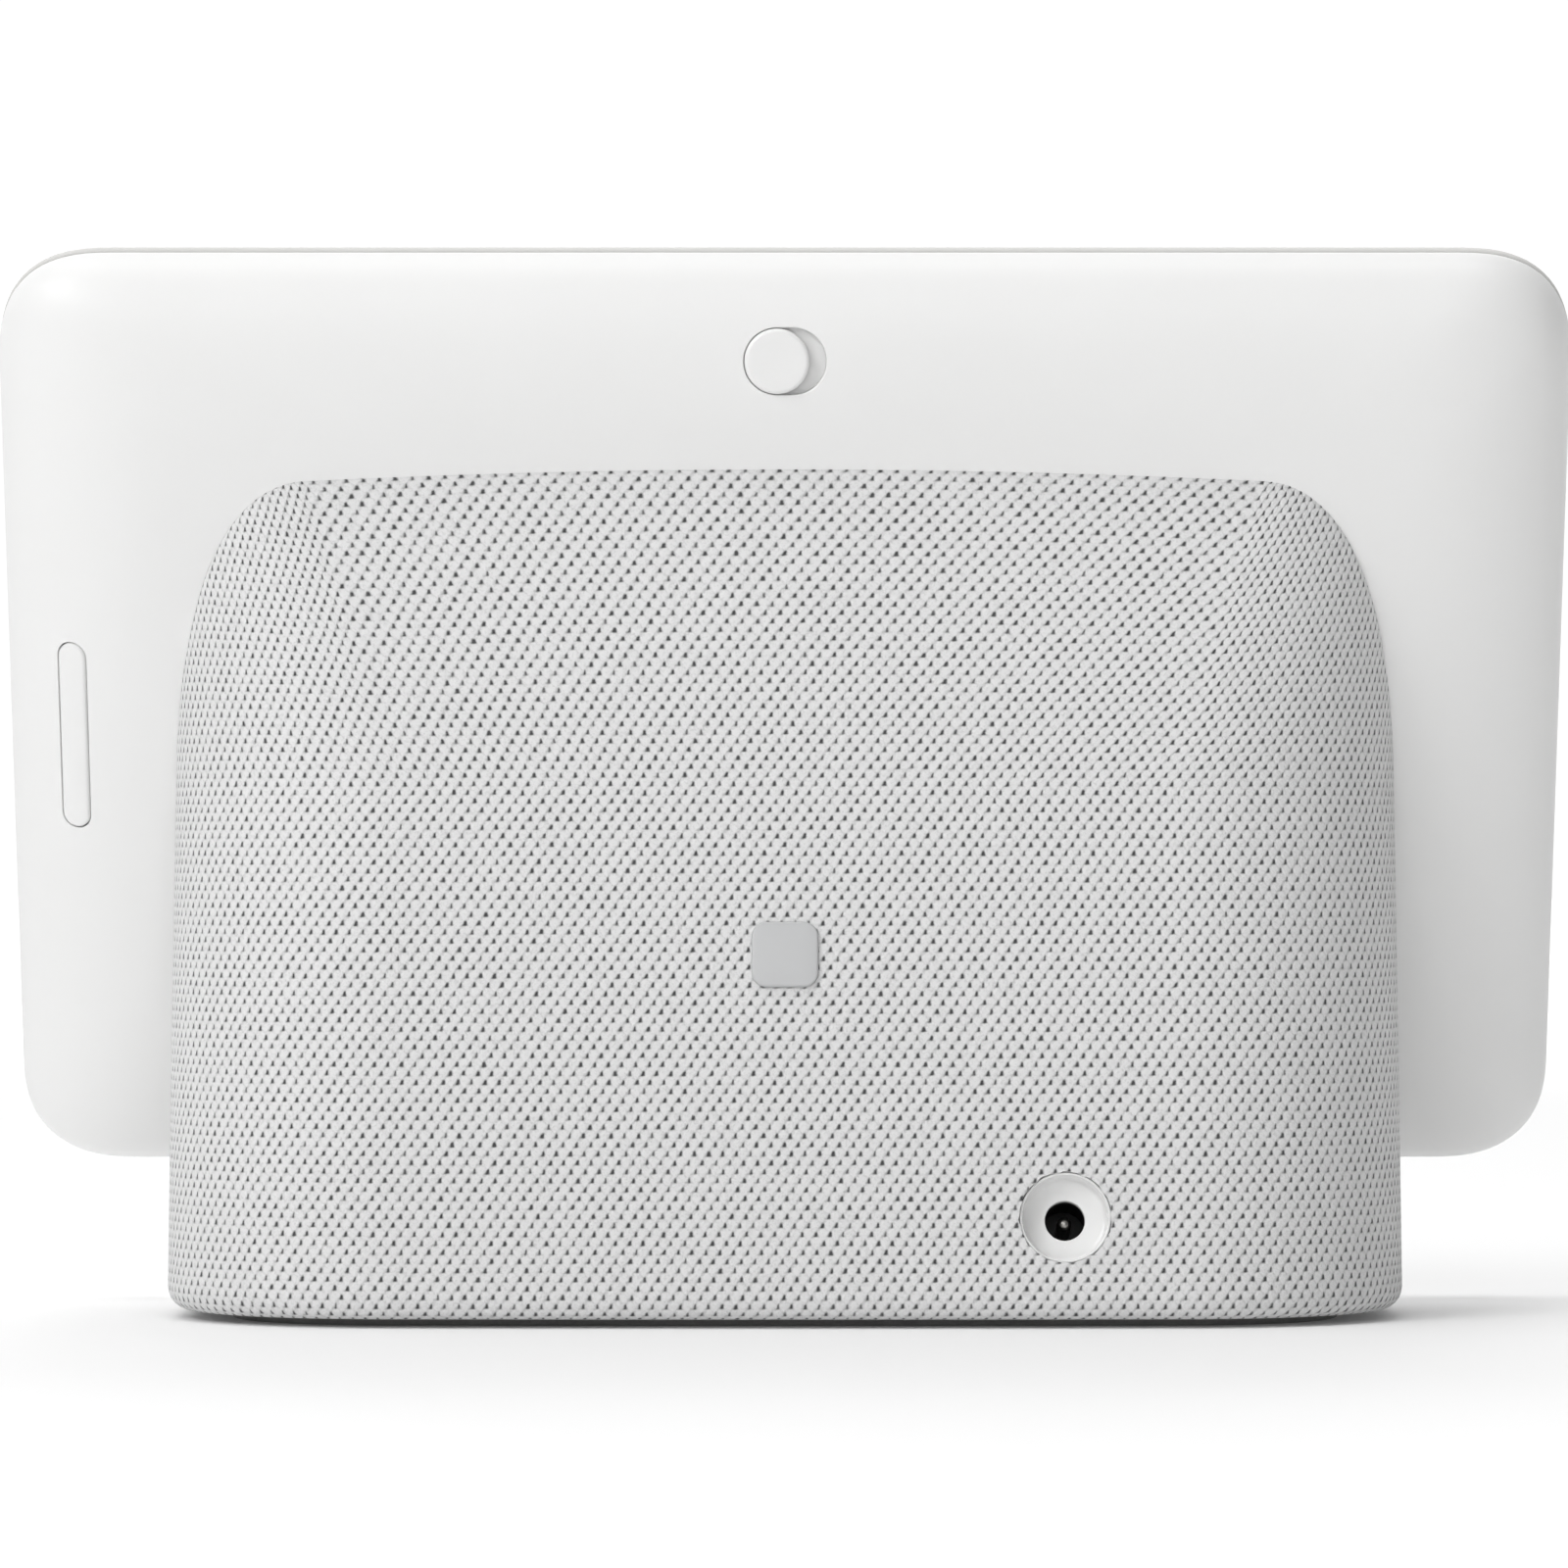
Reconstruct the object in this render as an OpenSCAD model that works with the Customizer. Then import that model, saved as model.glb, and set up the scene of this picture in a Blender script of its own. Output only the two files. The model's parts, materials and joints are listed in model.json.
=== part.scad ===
// Smart display: a tilted touch display carried on a fabric-covered speaker base.
// World frame: +Z up, +Y towards the back, the glass faces -Y, the origin is the bottom centre.
// Head frame: X across, Y from the glass to the back, Z up along the glass.

/* [Display] */
// Width of the display
head_w = 177.4; // [165:0.1:215]
// Height of the display, measured along the glass
head_h = 111.2; // [104:0.1:125]
// Thickness of the display, from glass to flat back
head_t = 12; // [11.8:0.1:14.5]
// Lean of the glass from upright, in degrees
lean = 22.4; // [20:0.1:24]
// Height of the glass's lower edge above the table
glass_z = 17.6; // [16:0.1:21]
// Corner radius of the display
corner_r = 13; // [10:0.5:16]
// Squareness of the display's corners, where 2 is a circle
corner_n = 2.58; // [2:0.01:3]
// Thickness of the front frame at the edge
rim_t = 1.65; // [1.4:0.05:2.2]
// Width of the rounded band between the edge and the flat back
round_w = 19; // [17:0.5:23]
// Wall of the rear shell
shell_wall = 1.8; // [1.5:0.1:2.1]

/* [Base] */
// Width of the base
base_w = 138.8; // [125:0.1:167]
// Front of the base, measured from the origin
base_front = -22; // [-23:0.5:-18]
// Back of the base at the table
base_back = 35.45; // [34:0.05:42]
// Lean of the base's back face at the table, in degrees
base_lean = 11.1; // [9:0.1:13.3]
// Radius of the back face in profile
base_crown_r = 780; // [650:10:936]
// Radius of the back face in plan
base_bow_r = 1500; // [1250:10:1800]
// Corner radius at the back of the base
base_back_r = 26.5; // [22:0.5:32]
// Corner radius at the front of the base
base_front_r = 16; // [13:0.5:19]
// Radius of the edge that turns under the base
base_edge_r = 2.6; // [2.4:0.1:3.2]
// Thickness of the fabric
fabric_t = 1.2; // [1:0.1:1.5]
// Wall of the base housing
base_wall = 2.2; // [1.8:0.1:2.7]
// Width of the fabric hem under the base
hem_w = 6; // [5:0.5:7.2]
// Thickness of the foot pad
foot_t = 0.9; // [0.7:0.1:1.1]

/* [Glass and panel] */
// Thickness of the cover glass
glass_t = 0.8; // [0.6:0.1:1]
// Width of the LCD panel
lcd_w = 159; // [150:0.5:160]
// Height of the LCD panel
lcd_h = 95; // [90:0.5:96]
// Thickness of the LCD panel
lcd_t = 1.2; // [1:0.1:1.4]
// Thickness of the backlight
backlight_t = 2.2; // [2:0.1:2.3]

/* [Volume rocker] */
// Length of the rocker
rocker_l = 22.4; // [18.7:0.1:27]
// Width of the rocker
rocker_w = 3.3; // [2.8:0.1:4]
// Distance from the display's side edge to the rocker's middle
rocker_in = 7.7; // [7.4:0.1:8.6]
// Height of the rocker's middle along the glass
rocker_z = 55.9; // [50:0.1:62]
// Gap round the rocker
rocker_gap = 0.18; // [0.15:0.01:0.3]
// Tilt of the rocker each way, in degrees
rocker_tilt = 1.8; // [1:0.1:1.8]

/* [Mute switch] */
// Diameter of the mute knob
knob_d = 7.3; // [6.1:0.1:8.7]
// Travel of the mute knob
knob_travel = 1.8; // [1.5:0.1:2.2]
// Distance from the display's top edge to the knob's middle
knob_in = 9.9; // [9.4:0.1:10.4]
// Gap round the mute knob
knob_gap = 0.12; // [0.1:0.01:0.2]
// How far the knob stands out
knob_proud = 0.5; // [0.3:0.05:0.7]

/* [Power inlet] */
// Side offset of the inlet
inlet_x = -30.8; // [-37:0.1:-30.8]
// Height of the inlet above the table
inlet_z = 12.2; // [12:0.1:13.5]
// Outer diameter of the inlet's cup
cup_d = 10.1; // [8.5:0.1:10.6]
// Diameter of the socket that takes the plug
socket_d = 4.4; // [3.7:0.1:5.2]
// Diameter of the contact pin
pin_d = 1.6; // [1.3:0.1:1.9]
// Depth of the dish ahead of the socket
dish_deep = 2.4; // [2:0.1:2.7]

/* [Speaker] */
// Size of the square speaker frame
speaker_w = 43.5; // [36.3:0.1:44]
// Height of the speaker's centre on the back face
speaker_z = 40; // [39:0.5:42]
// Travel of the cone each way
cone_travel = 1.5; // [1:0.1:1.8]

/* [Badge] */
// Size of the plain tile on the back
badge_w = 7.4; // [6.2:0.1:8.8]
// Height of the tile
badge_z = 40.9; // [36:0.1:46]

/* [Hidden] */
$fn = 48;

// Small numbers used throughout
eps = 0.01;          // thickness of a hull's slices
seat = 0.05;         // gap between two fixed pieces that seat on each other
fit = 0.05;          // radial clearance of a running fit
corner_steps = 8;    // sides of each outline corner
round_steps = 9;     // slices of the rear shell's rounded band

// Display layers, as depths behind the glass face
back_turn = 0.7;                      // how far the base's turned-under edge draws the back face in
head_front_y = back_turn - base_back; // puts the origin midway between the glass and the back
rim_w = 0.8;                          // width of the rim that frames the glass
glass_gap = 0.1;                      // gap between the rim and the glass
adhesive_t = 0.15;
ledge_y = glass_t + adhesive_t;       // face of the ledge that the glass is bonded to
lcd_y = glass_t + seat;
backlight_y = lcd_y + lcd_t + seat;
backlight_end = backlight_y + backlight_t;
window_gap = 0.5;                     // gap between the LCD and the frame's window
spreader_y = backlight_end + 0.15;
spreader_t = 0.8;
spreader_end = spreader_y + spreader_t;
board_y = head_t - 4.9;
board_t = 1;
board_end = board_y + board_t;
cavity_y = head_t - shell_wall;       // inner face of the shell's flat back
mid_z = head_h / 2;
round_d = head_t - rim_t;             // depth of the rounded band

// Main board and what it carries
board_w = 90;
board_low = mid_z - 5.6;
board_h = 42;
board_screw_x = 41;
board_screw_zs = [board_low + 4, board_low + board_h - 4];
shield_x = -30;
shield_w = 28;
shield_z = board_low + 10;
shield_h = 24;
radio_x = 8;
radio_w = 22;
can_wall = 0.2;

// Neck between the display and the base
neck_z = 34;
neck_w = 40;
neck_h = 14;
neck_plate_w = 80;
neck_plate_h = 24;
neck_plate_t = 1.5;
neck_screw_x = 34;
neck_screw_z = 8;
neck_screw_r = 1.2;
base_gap = 0.12;                      // gap between the display's back and the base housing
fabric_gap = 0.1;                     // gap between the display's back and the fabric's edge
base_face_y = head_t + base_gap;      // face of the base that meets the display's back
base_inner_y = base_face_y + base_wall;
neck_boss_end = base_inner_y + 4.6;

// Sensor strip above the LCD
strip_low = mid_z + lcd_h / 2 + 1.2;
strip_h = 4;
strip_z = strip_low + strip_h / 2;
strip_y = 2.6;
strip_t = 0.8;
strip_w = 76;
mic_x = 34;
mic_r = 0.35;

// Shell screws
shell_screw_x = head_w / 2 - 5.6;
shell_screw_zs = [corner_r + 1, head_h - corner_r - 1];
shell_screw_r = 0.8;
shell_boss_y = 3.3;

// Volume rocker, as depths below the shell's surface
rocker_deep = 1.9;
finger_gap = 2;                       // free room beside the rocker
finger_reach = 40;
pivot_deep = 3.1;
pivot_r = 0.5;
pivot_half = 3.2;
ear_inner = rocker_w / 2 + 0.45;
ear_t = 0.8;
press_y = 8.5;
press_deep = 3;
plunger_gap = press_y * sin(rocker_tilt) + 0.03;
plunger_deep = press_deep + plunger_gap;
plunger_r = 0.8;
plunger_travel = 0.25;
switch_deep = plunger_deep + plunger_travel + 0.12;
switch_t = 1.2;
switch_end = switch_deep + switch_t;
volume_board_t = 0.6;

// Mute switch, as depths below the shell's surface
slot_l = knob_d + knob_travel + 2 * knob_gap;
slot_w = knob_d + 2 * knob_gap;
knob_deep = 1;
tray_deep = 1.1;
tray_rim = 0.5;                       // how far the tray's flange reaches past the slot's long sides
tray_bend = 13;                       // radius of the shell's inner bend behind the tray
tray_flange_deep = shell_wall + seat + pow(slot_w / 2 + tray_rim, 2) / (2 * tray_bend);
tray_end = tray_flange_deep + 0.4;
stem_l = 2;
stem_w = 1.6;
stem_end = tray_end + 1.2;
mute_switch_deep = tray_end + seat;
mute_switch_end = mute_switch_deep + 1.9;
lever_l = 3;
lever_w = 2.4;
patch_deep = 0.3;                     // thickness of the coloured patch in the tray

// Base
base_low = foot_t + seat;
housing_in = fabric_t + seat;
cavity_in = housing_in + base_wall;
base_top = 97;
base_slices = [0, 8, 24, 40, 56, 72, 86, base_top];
plate_in = hem_w + 0.3;
plate_t = 1.15;
housing_low = base_low + fabric_t + seat;
opening_in = 14;
base_screw_in = 10;
base_screw_r = 1;
screw_pocket = 0.7;                   // depth of the pockets for the base screws' heads
base_boss_top = 10;

// Power inlet, as distances along its axis from the fabric
inlet_lean = back_lean(inlet_z);
body_start = cavity_in + 0.1;         // the body sits behind the housing's wall
cup_end = body_start - seat;
cup_lip = 0.15;
dish_rise = 0.4;                      // how much higher the dish's floor is at its wall
body_w = 8.4;
body_end = body_start + 9.7;
body_bore = socket_d + 0.6;           // room beside the plug for the socket's contact springs
floor_t = 1.2;                        // thickness of the body's closed end
pin_tip = body_start + 0.8;
pin_point = 0.4;                      // length of the pin's tapered tip
pin_foot = body_end - floor_t - 0.3;  // where the pin narrows to its solder tail
tail_d = pin_d - 0.4;

// Speaker, as distances along its axis from the mounting face
speaker_lean = back_lean(speaker_z);
gasket_t = 0.8;
chamber_half = speaker_w / 2 + 3.75;
pad_t = 0.3 + pow(chamber_half, 2) / (2 * base_crown_r)   // the mounting pad takes up the wall's
    + bow_drop(chamber_half);                             // curve both ways
mount_deep = cavity_in + gasket_t + pad_t;
flange_t = 1.2;
spk_screw = speaker_w / 2 - 3.4;
basket_r = 20.2;
basket_low_r = 13;
basket_low = -7.5 - cone_travel;
pole_r = 7;
coil_in_r = 7.4;
coil_out_r = 8;
gap_r = 8.25;
top_plate_low = basket_low - seat - 2;
magnet_low = top_plate_low - seat - 5.8;
yoke_low = magnet_low - seat - 1.9;
cone_r = 16.5;
surround_out_r = 20;
chamber_wall = 1.2;
chamber_low = yoke_low - 0.3 - chamber_wall;

/* Functions */

// One quarter of a squared circle, from the X axis to the Y axis
function corner_x(r, i) = r * pow(cos(90 * i / corner_steps), 2 / corner_n);
function corner_y(r, i) = r * pow(sin(90 * i / corner_steps), 2 / corner_n);

// The display's outline, drawn in by a given amount and centred
function outline(inset, r) =
    let (x = head_w / 2 - inset - r, y = head_h / 2 - inset - r, n = corner_steps)
    concat(
        [for (i = [0 : n]) [x + corner_x(r, i), y + corner_y(r, i)]],
        [for (i = [n : -1 : 0]) [-x - corner_x(r, i), y + corner_y(r, i)]],
        [for (i = [0 : n]) [-x - corner_x(r, i), -y - corner_y(r, i)]],
        [for (i = [n : -1 : 0]) [x + corner_x(r, i), -y - corner_y(r, i)]]);

// Depth and slope of the shell's rounded band, a distance in from the edge
function band_y(s) = rim_t + round_d * sqrt(1 - pow(1 - s / round_w, 2));
function band_tilt(s) =
    atan(round_d * (1 - s / round_w) / round_w / sqrt(1 - pow(1 - s / round_w, 2)));

// Back face of the base: its place and its lean at a height, and how far it falls away at the sides
function back_lean(z) = asin(sin(base_lean) + z / base_crown_r);
function back_y(z) = base_back - base_crown_r * (cos(base_lean) - cos(back_lean(z)));
function bow_drop(x) = base_bow_r - sqrt(pow(base_bow_r, 2) - pow(x, 2));

// Part of a circle as points
function arc(x, y, r, from, to, n = 10) =
    [for (i = [0 : n]) let (a = from + (to - from) * i / n) [x + r * cos(a), y + r * sin(a)]];

// The base's outline at a height, drawn in by a given amount
function base_plan(z, inset) =
    let (x = base_w / 2 - inset, y0 = base_front + inset, y1 = back_y(z) - inset,
         rf = max(base_front_r - inset, 1), rb = max(base_back_r - inset, 1),
         bow = base_bow_r - inset, side = asin((x - rb) / (bow - rb)),
         yb = y1 - bow + (bow - rb) * cos(side))
    concat(arc(x - rb, yb, rb, 0, 90 - side),
        arc(0, y1 - bow, bow, 90 - 0.75 * side, 90 + 0.75 * side, 4),
        arc(-x + rb, yb, rb, 90 + side, 180),
        arc(-x + rf, y0 + rf, rf, 180, 270, 6), arc(x - rf, y0 + rf, rf, 270, 360, 6));

// A tube's rings along a path of points
function unit(v) = v / norm(v);
function heading(path, i) =
    unit(path[min(i + 1, len(path) - 1)] - path[max(i - 1, 0)]);
function tube_ring(p, d, r, n) =
    let (u = unit(cross(d, [1, 0.3, 0.2])), v = cross(d, u))
    [for (k = [0 : n - 1]) p + r * (cos(360 * k / n) * u + sin(360 * k / n) * v)];

/* Shared shapes */

module head_frame() {
    translate([0, head_front_y, glass_z]) rotate([-lean, 0, 0]) children();
}

// A flat piece of the display between two depths, drawn about the display's middle
module layer(y0, y1) {
    translate([0, y1, mid_z]) rotate([90, 0, 0]) linear_extrude(y1 - y0) children();
}

// A box in the head frame from its corners
module block(x0, x1, y0, y1, z0, z1) {
    translate([x0, y0, z0]) cube([x1 - x0, y1 - y0, z1 - z0]);
}

// A round bar along the head frame's depth
module peg(x, z, y0, y1, r) {
    translate([x, y0, z]) rotate([-90, 0, 0]) cylinder(h = y1 - y0, r = r);
}

// A bar with round ends, lying along X
module obround(l, w, h) {
    linear_extrude(h) {
        square([l - w, w], center = true);
        for (side = [-1, 1]) translate([side * (l - w) / 2, 0]) circle(d = w);
    }
}

// The display's outer form behind the front frame, grown or shrunk
module head_form(grow) {
    hull() for (i = [0 : round_steps]) {
        a = 90 * i / round_steps;
        inset = round_w * (1 - cos(a)) - grow;
        depth = rim_t + (round_d + grow) * sin(a);
        layer(depth - eps, depth) polygon(outline(inset, max(corner_r - 0.2 * inset + 0.8 * grow, 2)));
    }
}

// The base's outer form, drawn in on every side
module base_form(inset) {
    edge = max(base_edge_r - inset, 0.3);
    low = base_low + inset;
    hull() {
        for (a = [0 : 30 : 60]) {
            z = low + edge * (1 - cos(a));
            translate([0, 0, z]) linear_extrude(eps) polygon(base_plan(z, inset + edge * (1 - sin(a))));
        }
        for (z = base_slices) {
            up = max(z, low + edge);
            translate([0, 0, up]) linear_extrude(eps) polygon(base_plan(up, inset));
        }
    }
}

// The space ahead of a plane parallel to the glass
module ahead(y) {
    head_frame() translate([-base_w, y - 3 * head_h, -head_h]) cube([2 * base_w, 3 * head_h, 3 * head_h]);
}

// What the display takes out of the base: its own form and all that lies ahead of it
module head_room(gap) {
    head_frame() head_form(gap);
    ahead(head_t / 2);
}

// Places a piece on the shell's side band, Z outwards and Y along the rocker
module at_rocker() {
    head_frame() translate([head_w / 2 - rocker_in, band_y(rocker_in), rocker_z])
        rotate([0, 0, -band_tilt(rocker_in)]) rotate([-90, 0, 0]) children();
}

// Room for a finger round the rocker, which a base wide enough to reach it gives way to
module finger_room(grow) {
    at_rocker() translate([0, 0, -rocker_deep]) rotate([0, 0, 90])
        obround(rocker_l + 2 * (finger_gap + grow), rocker_w + 2 * (finger_gap + grow), finger_reach);
}

// Places a piece on the shell's top band, Z outwards and X across
module at_knob() {
    head_frame() translate([0, band_y(knob_in), head_h - knob_in])
        rotate([band_tilt(knob_in) - 90, 0, 0]) children();
}

// Places a piece on the base's back face, Z outwards
module on_back(x, z) {
    translate([x, back_y(z) - bow_drop(x), z]) rotate([back_lean(z) - 90, 0, 0]) children();
}

module at_inlet() {
    on_back(inlet_x, inlet_z) children();
}

module at_speaker() {
    on_back(0, speaker_z) translate([0, 0, -mount_deep]) children();
}

// A ring about Z
module ring(r_out, r_in, z0, z1) {
    translate([0, 0, z0]) difference() {
        cylinder(h = z1 - z0, r = r_out);
        translate([0, 0, -1]) cylinder(h = z1 - z0 + 2, r = r_in);
    }
}

// A cable swept along a path
module tube(path, r, n = 8) {
    last = len(path) - 1;
    points = [for (i = [0 : last]) each tube_ring(path[i], heading(path, i), r, n)];
    sides = [for (i = [0 : last - 1]) for (k = [0 : n - 1])
        let (a = i * n + k, b = i * n + (k + 1) % n) each [[a, b, b + n], [a, b + n, a + n]]];
    ends = [[for (k = [n - 1 : -1 : 0]) k], [for (k = [0 : n - 1]) last * n + k]];
    polyhedron(points = points, faces = concat(sides, ends), convexity = 6);
}

// A screw along +Z with its head below z = 0
module screw(r, l, head_r, head_t) {
    translate([0, 0, -head_t]) cylinder(h = head_t, r = head_r);
    translate([0, 0, -eps]) cylinder(h = l + eps, r = r);
}

module on_speaker_corners() {
    for (x = [-1, 1], y = [-1, 1]) translate([x * spk_screw, y * spk_screw, 0]) children();
}

module on_base_corners() {
    back = base_back_r - base_screw_in;
    front = max(base_front_r - base_screw_in, 1);
    for (side = [-1, 1]) {
        translate([side * (base_w / 2 - base_back_r + back * cos(45)),
            back_y(0) - base_back_r + back * sin(45), 0]) children();
        translate([side * (base_w / 2 - base_front_r + front * cos(45)),
            base_front + base_front_r - front * sin(45), 0]) children();
    }
}

module on_board_corners() {
    for (x = [-board_screw_x, board_screw_x], z = board_screw_zs) translate([x, 0, z]) children();
}

module on_neck_corners() {
    for (x = [-1, 1], z = [-1, 1])
        translate([x * neck_screw_x, 0, neck_z + z * neck_screw_z]) children();
}

module on_shell_corners() {
    for (x = [-1, 1], z = shell_screw_zs) translate([x * shell_screw_x, 0, z]) children();
}

/* Display front */

module cover_glass() {
    inset = rim_w + glass_gap;
    color("black") head_frame() difference() {
        layer(0, glass_t) polygon(outline(inset, corner_r - inset));
        for (x = [-mic_x, mic_x]) peg(x, strip_z, -1, glass_t + 1, mic_r);
    }
}

module glass_adhesive() {
    inset = rim_w + 0.6;
    gap = adhesive_t / 5;
    color("dimgray") head_frame() difference() {
        layer(glass_t + gap, ledge_y - gap) polygon(outline(inset, corner_r - inset));
        layer(0, ledge_y + 1) square([lcd_w + 2, lcd_h + 2], center = true);
        for (x = [-mic_x, 0, mic_x]) peg(x, strip_z, 0, ledge_y + 1, 1.9);
    }
}

module front_frame() {
    color("gainsboro") head_frame() difference() {
        union() {
            layer(0, rim_t) polygon(outline(0, corner_r));
            on_shell_corners() peg(0, 0, rim_t - eps, shell_boss_y - seat, 2.2);
        }
        layer(-1, ledge_y) polygon(outline(rim_w, corner_r - rim_w));
        layer(-1, rim_t + 1) square([lcd_w + 2 * window_gap, lcd_h + 2 * window_gap], center = true);
        for (x = [-mic_x, 0, mic_x]) peg(x, strip_z, 0, rim_t + 1, 1.7);
        on_shell_corners() {
            peg(0, 0, 0, 2.3, 1.6);
            peg(0, 0, 0, shell_boss_y + 1, shell_screw_r + 0.2);
        }
    }
}

module lcd_panel() {
    color("darkslategray") head_frame() layer(lcd_y, lcd_y + lcd_t)
        square([lcd_w, lcd_h], center = true);
}

module backlight_unit() {
    rim = 1.2;
    color("lightgray") head_frame() layer(backlight_y, backlight_end)
        square([lcd_w - rim, lcd_h - rim], center = true);
}

module display_flex() {
    x0 = 20;
    w = 18;
    t = 0.15;
    low = mid_z - lcd_h / 2 - 0.25;
    y0 = lcd_y + 0.2;
    y1 = spreader_end + 0.6;
    top = board_low + 3;
    color("darkgoldenrod") head_frame() {
        block(x0, x0 + w, y0, y1 + t, low - t, low);
        block(x0, x0 + w, y1, y1 + t, low - eps, top);
        block(x0, x0 + w, y1 + t - eps, board_y - seat, top - 2.5, top);
    }
}

/* Display electronics */

module heat_spreader() {
    low = mid_z - lcd_h / 2 + 8;
    color("silver") head_frame() block(-70, 70, spreader_y, spreader_end, low, low + lcd_h - 15);
}

module thermal_pad() {
    color("steelblue") head_frame() block(shield_x + 4, shield_x + shield_w - 4,
        spreader_end + 0.03, board_y - 1.55, shield_z + 4, shield_z + shield_h - 4);
}

module main_board() {
    color("darkgreen") head_frame() difference() {
        block(-board_w / 2, board_w / 2, board_y, board_end, board_low, board_low + board_h);
        on_board_corners() peg(0, 0, board_y - 1, board_end + 1, 1);
    }
}

module board_chips() {
    y1 = board_y - 0.02;
    color("#222222") head_frame() {
        block(shield_x + 4, shield_x + 16, y1 - 1, y1, shield_z + 6, shield_z + 18);
        block(shield_x + 18, shield_x + 25, y1 - 0.8, y1, shield_z + 4, shield_z + 12);
        block(shield_x + 18, shield_x + 25, y1 - 0.8, y1, shield_z + 13, shield_z + 21);
        block(4, 10, y1 - 0.9, y1, board_low + 24, board_low + 30);
        block(radio_x + 6, radio_x + 14, board_end + 0.02, board_end + 0.9, shield_z + 8, shield_z + 16);
    }
}

// A thin-walled can that opens towards the board, between two depths
module can(x, w, z, h, y0, y1, towards_back) {
    cut0 = towards_back ? y0 + can_wall : y0 - 1;
    cut1 = towards_back ? y1 + 1 : y1 - can_wall;
    difference() {
        block(x, x + w, y0, y1, z, z + h);
        block(x + can_wall, x + w - can_wall, cut0, cut1, z + can_wall, z + h - can_wall);
    }
}

module processor_shield() {
    color("silver") head_frame()
        can(shield_x, shield_w, shield_z, shield_h, board_y - 1.5, board_y - 0.02, true);
}

module radio_shield() {
    color("silver") head_frame()
        can(radio_x, radio_w, shield_z, shield_h - 4, board_end + 0.02, board_end + 1.3, false);
}

module board_screws() {
    color("gray") head_frame() on_board_corners()
        translate([0, board_y - seat, 0]) rotate([-90, 0, 0]) screw(0.8, 2.9, 1.7, 0.8);
}

module sensor_board() {
    color("darkgreen") head_frame() difference() {
        block(-strip_w / 2, strip_w / 2, strip_y, strip_y + strip_t, strip_low, strip_low + strip_h);
        for (x = [-mic_x, mic_x]) peg(x, strip_z, strip_y - 1, strip_y + strip_t + 1, mic_r);
    }
}

module light_sensor() {
    color("#303030") head_frame()
        block(-1, 1, strip_y - 0.7, strip_y - 0.02, strip_z - 1, strip_z + 1);
}

module microphones() {
    y0 = strip_y + strip_t + 0.02;
    color("gold") head_frame() for (x = [-mic_x, mic_x]) difference() {
        block(x - 1.75, x + 1.75, y0, y0 + 0.95, strip_z - 1.3, strip_z + 1.3);
        peg(x, strip_z, y0 - 1, y0 + 0.6, mic_r);
    }
}

module mic_gaskets() {
    color("#404040") head_frame() for (x = [-mic_x, mic_x]) difference() {
        peg(x, strip_z, glass_t + 0.02, strip_y - 0.02, 1.4);
        peg(x, strip_z, 0, strip_y + 1, 0.6);
    }
}

module radar_module() {
    color("#1d3b2a") head_frame() {
        block(48, 60, strip_y, strip_y + 0.5, strip_low, strip_low + 3.8);
        block(51, 57, strip_y - 0.6, strip_y + eps, strip_low + 0.6, strip_low + 3.2);
    }
}

module wifi_antennas() {
    inner = head_w / 2 - 6.2;
    color("goldenrod") head_frame() {
        block(-inner - 2.5, -inner, 2.6, 3.1, mid_z, mid_z + 30);
        block(inner, inner + 2.5, 2.6, 3.1, corner_r + 5, rocker_z - rocker_l / 2 - 3);
    }
}

/* Rear shell and neck */

module rear_shell() {
    color("whitesmoke") difference() {
        union() {
            head_frame() difference() {
                head_form(0);
                head_form(-shell_wall);
                layer(-1, rim_t + 0.02) square([2 * head_w, 2 * head_h], center = true);
            }
            head_frame() on_board_corners() peg(0, 0, board_end + seat, cavity_y + 0.5, 2.2);
            head_frame() intersection() {
                on_shell_corners() peg(0, 0, shell_boss_y, head_t, 2.5);
                head_form(-0.4);
            }
        }
        head_frame() {
            on_board_corners() peg(0, 0, board_y, cavity_y, 0.8 + fit);
            on_shell_corners() peg(0, 0, 0, 6.4, shell_screw_r + fit);
            on_neck_corners() peg(0, 0, board_y, head_t + 1, neck_screw_r + 0.2);
            translate([0, head_t - shell_wall - 2, neck_z]) rotate([-90, 0, 0])
                obround(neck_w, neck_h, shell_wall + 4);
        }
        at_rocker() translate([0, 0, -rocker_deep - 1.2]) rotate([0, 0, 90])
            obround(rocker_l + 2 * rocker_gap, rocker_w + 2 * rocker_gap, 6);
        at_knob() translate([0, 0, -tray_flange_deep]) obround(slot_l, slot_w, 6);
    }
}

module shell_screws() {
    color("gray") head_frame() on_shell_corners()
        translate([0, 2.35 - seat, 0]) rotate([-90, 0, 0]) screw(shell_screw_r, 3.9, 1.5, 1.2);
}

module neck_bracket() {
    y1 = cavity_y - seat;
    color("silver") head_frame() difference() {
        block(-neck_plate_w / 2, neck_plate_w / 2, y1 - neck_plate_t, y1,
            neck_z - neck_plate_h / 2, neck_z + neck_plate_h / 2);
        translate([0, y1 - neck_plate_t - 1, neck_z]) rotate([-90, 0, 0])
            obround(neck_w - 6, neck_h - 6, neck_plate_t + 2);
        on_neck_corners() peg(0, 0, y1 - neck_plate_t - 1, y1 + 1, neck_screw_r + 0.2);
    }
}

module bracket_screws() {
    y0 = cavity_y - 2 * seat - neck_plate_t;
    color("gray") head_frame() on_neck_corners() translate([0, y0, 0])
        rotate([-90, 0, 0]) screw(neck_screw_r, neck_boss_end - 1 - y0, 2.2, 1.2);
}

/* Volume rocker */

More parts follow.
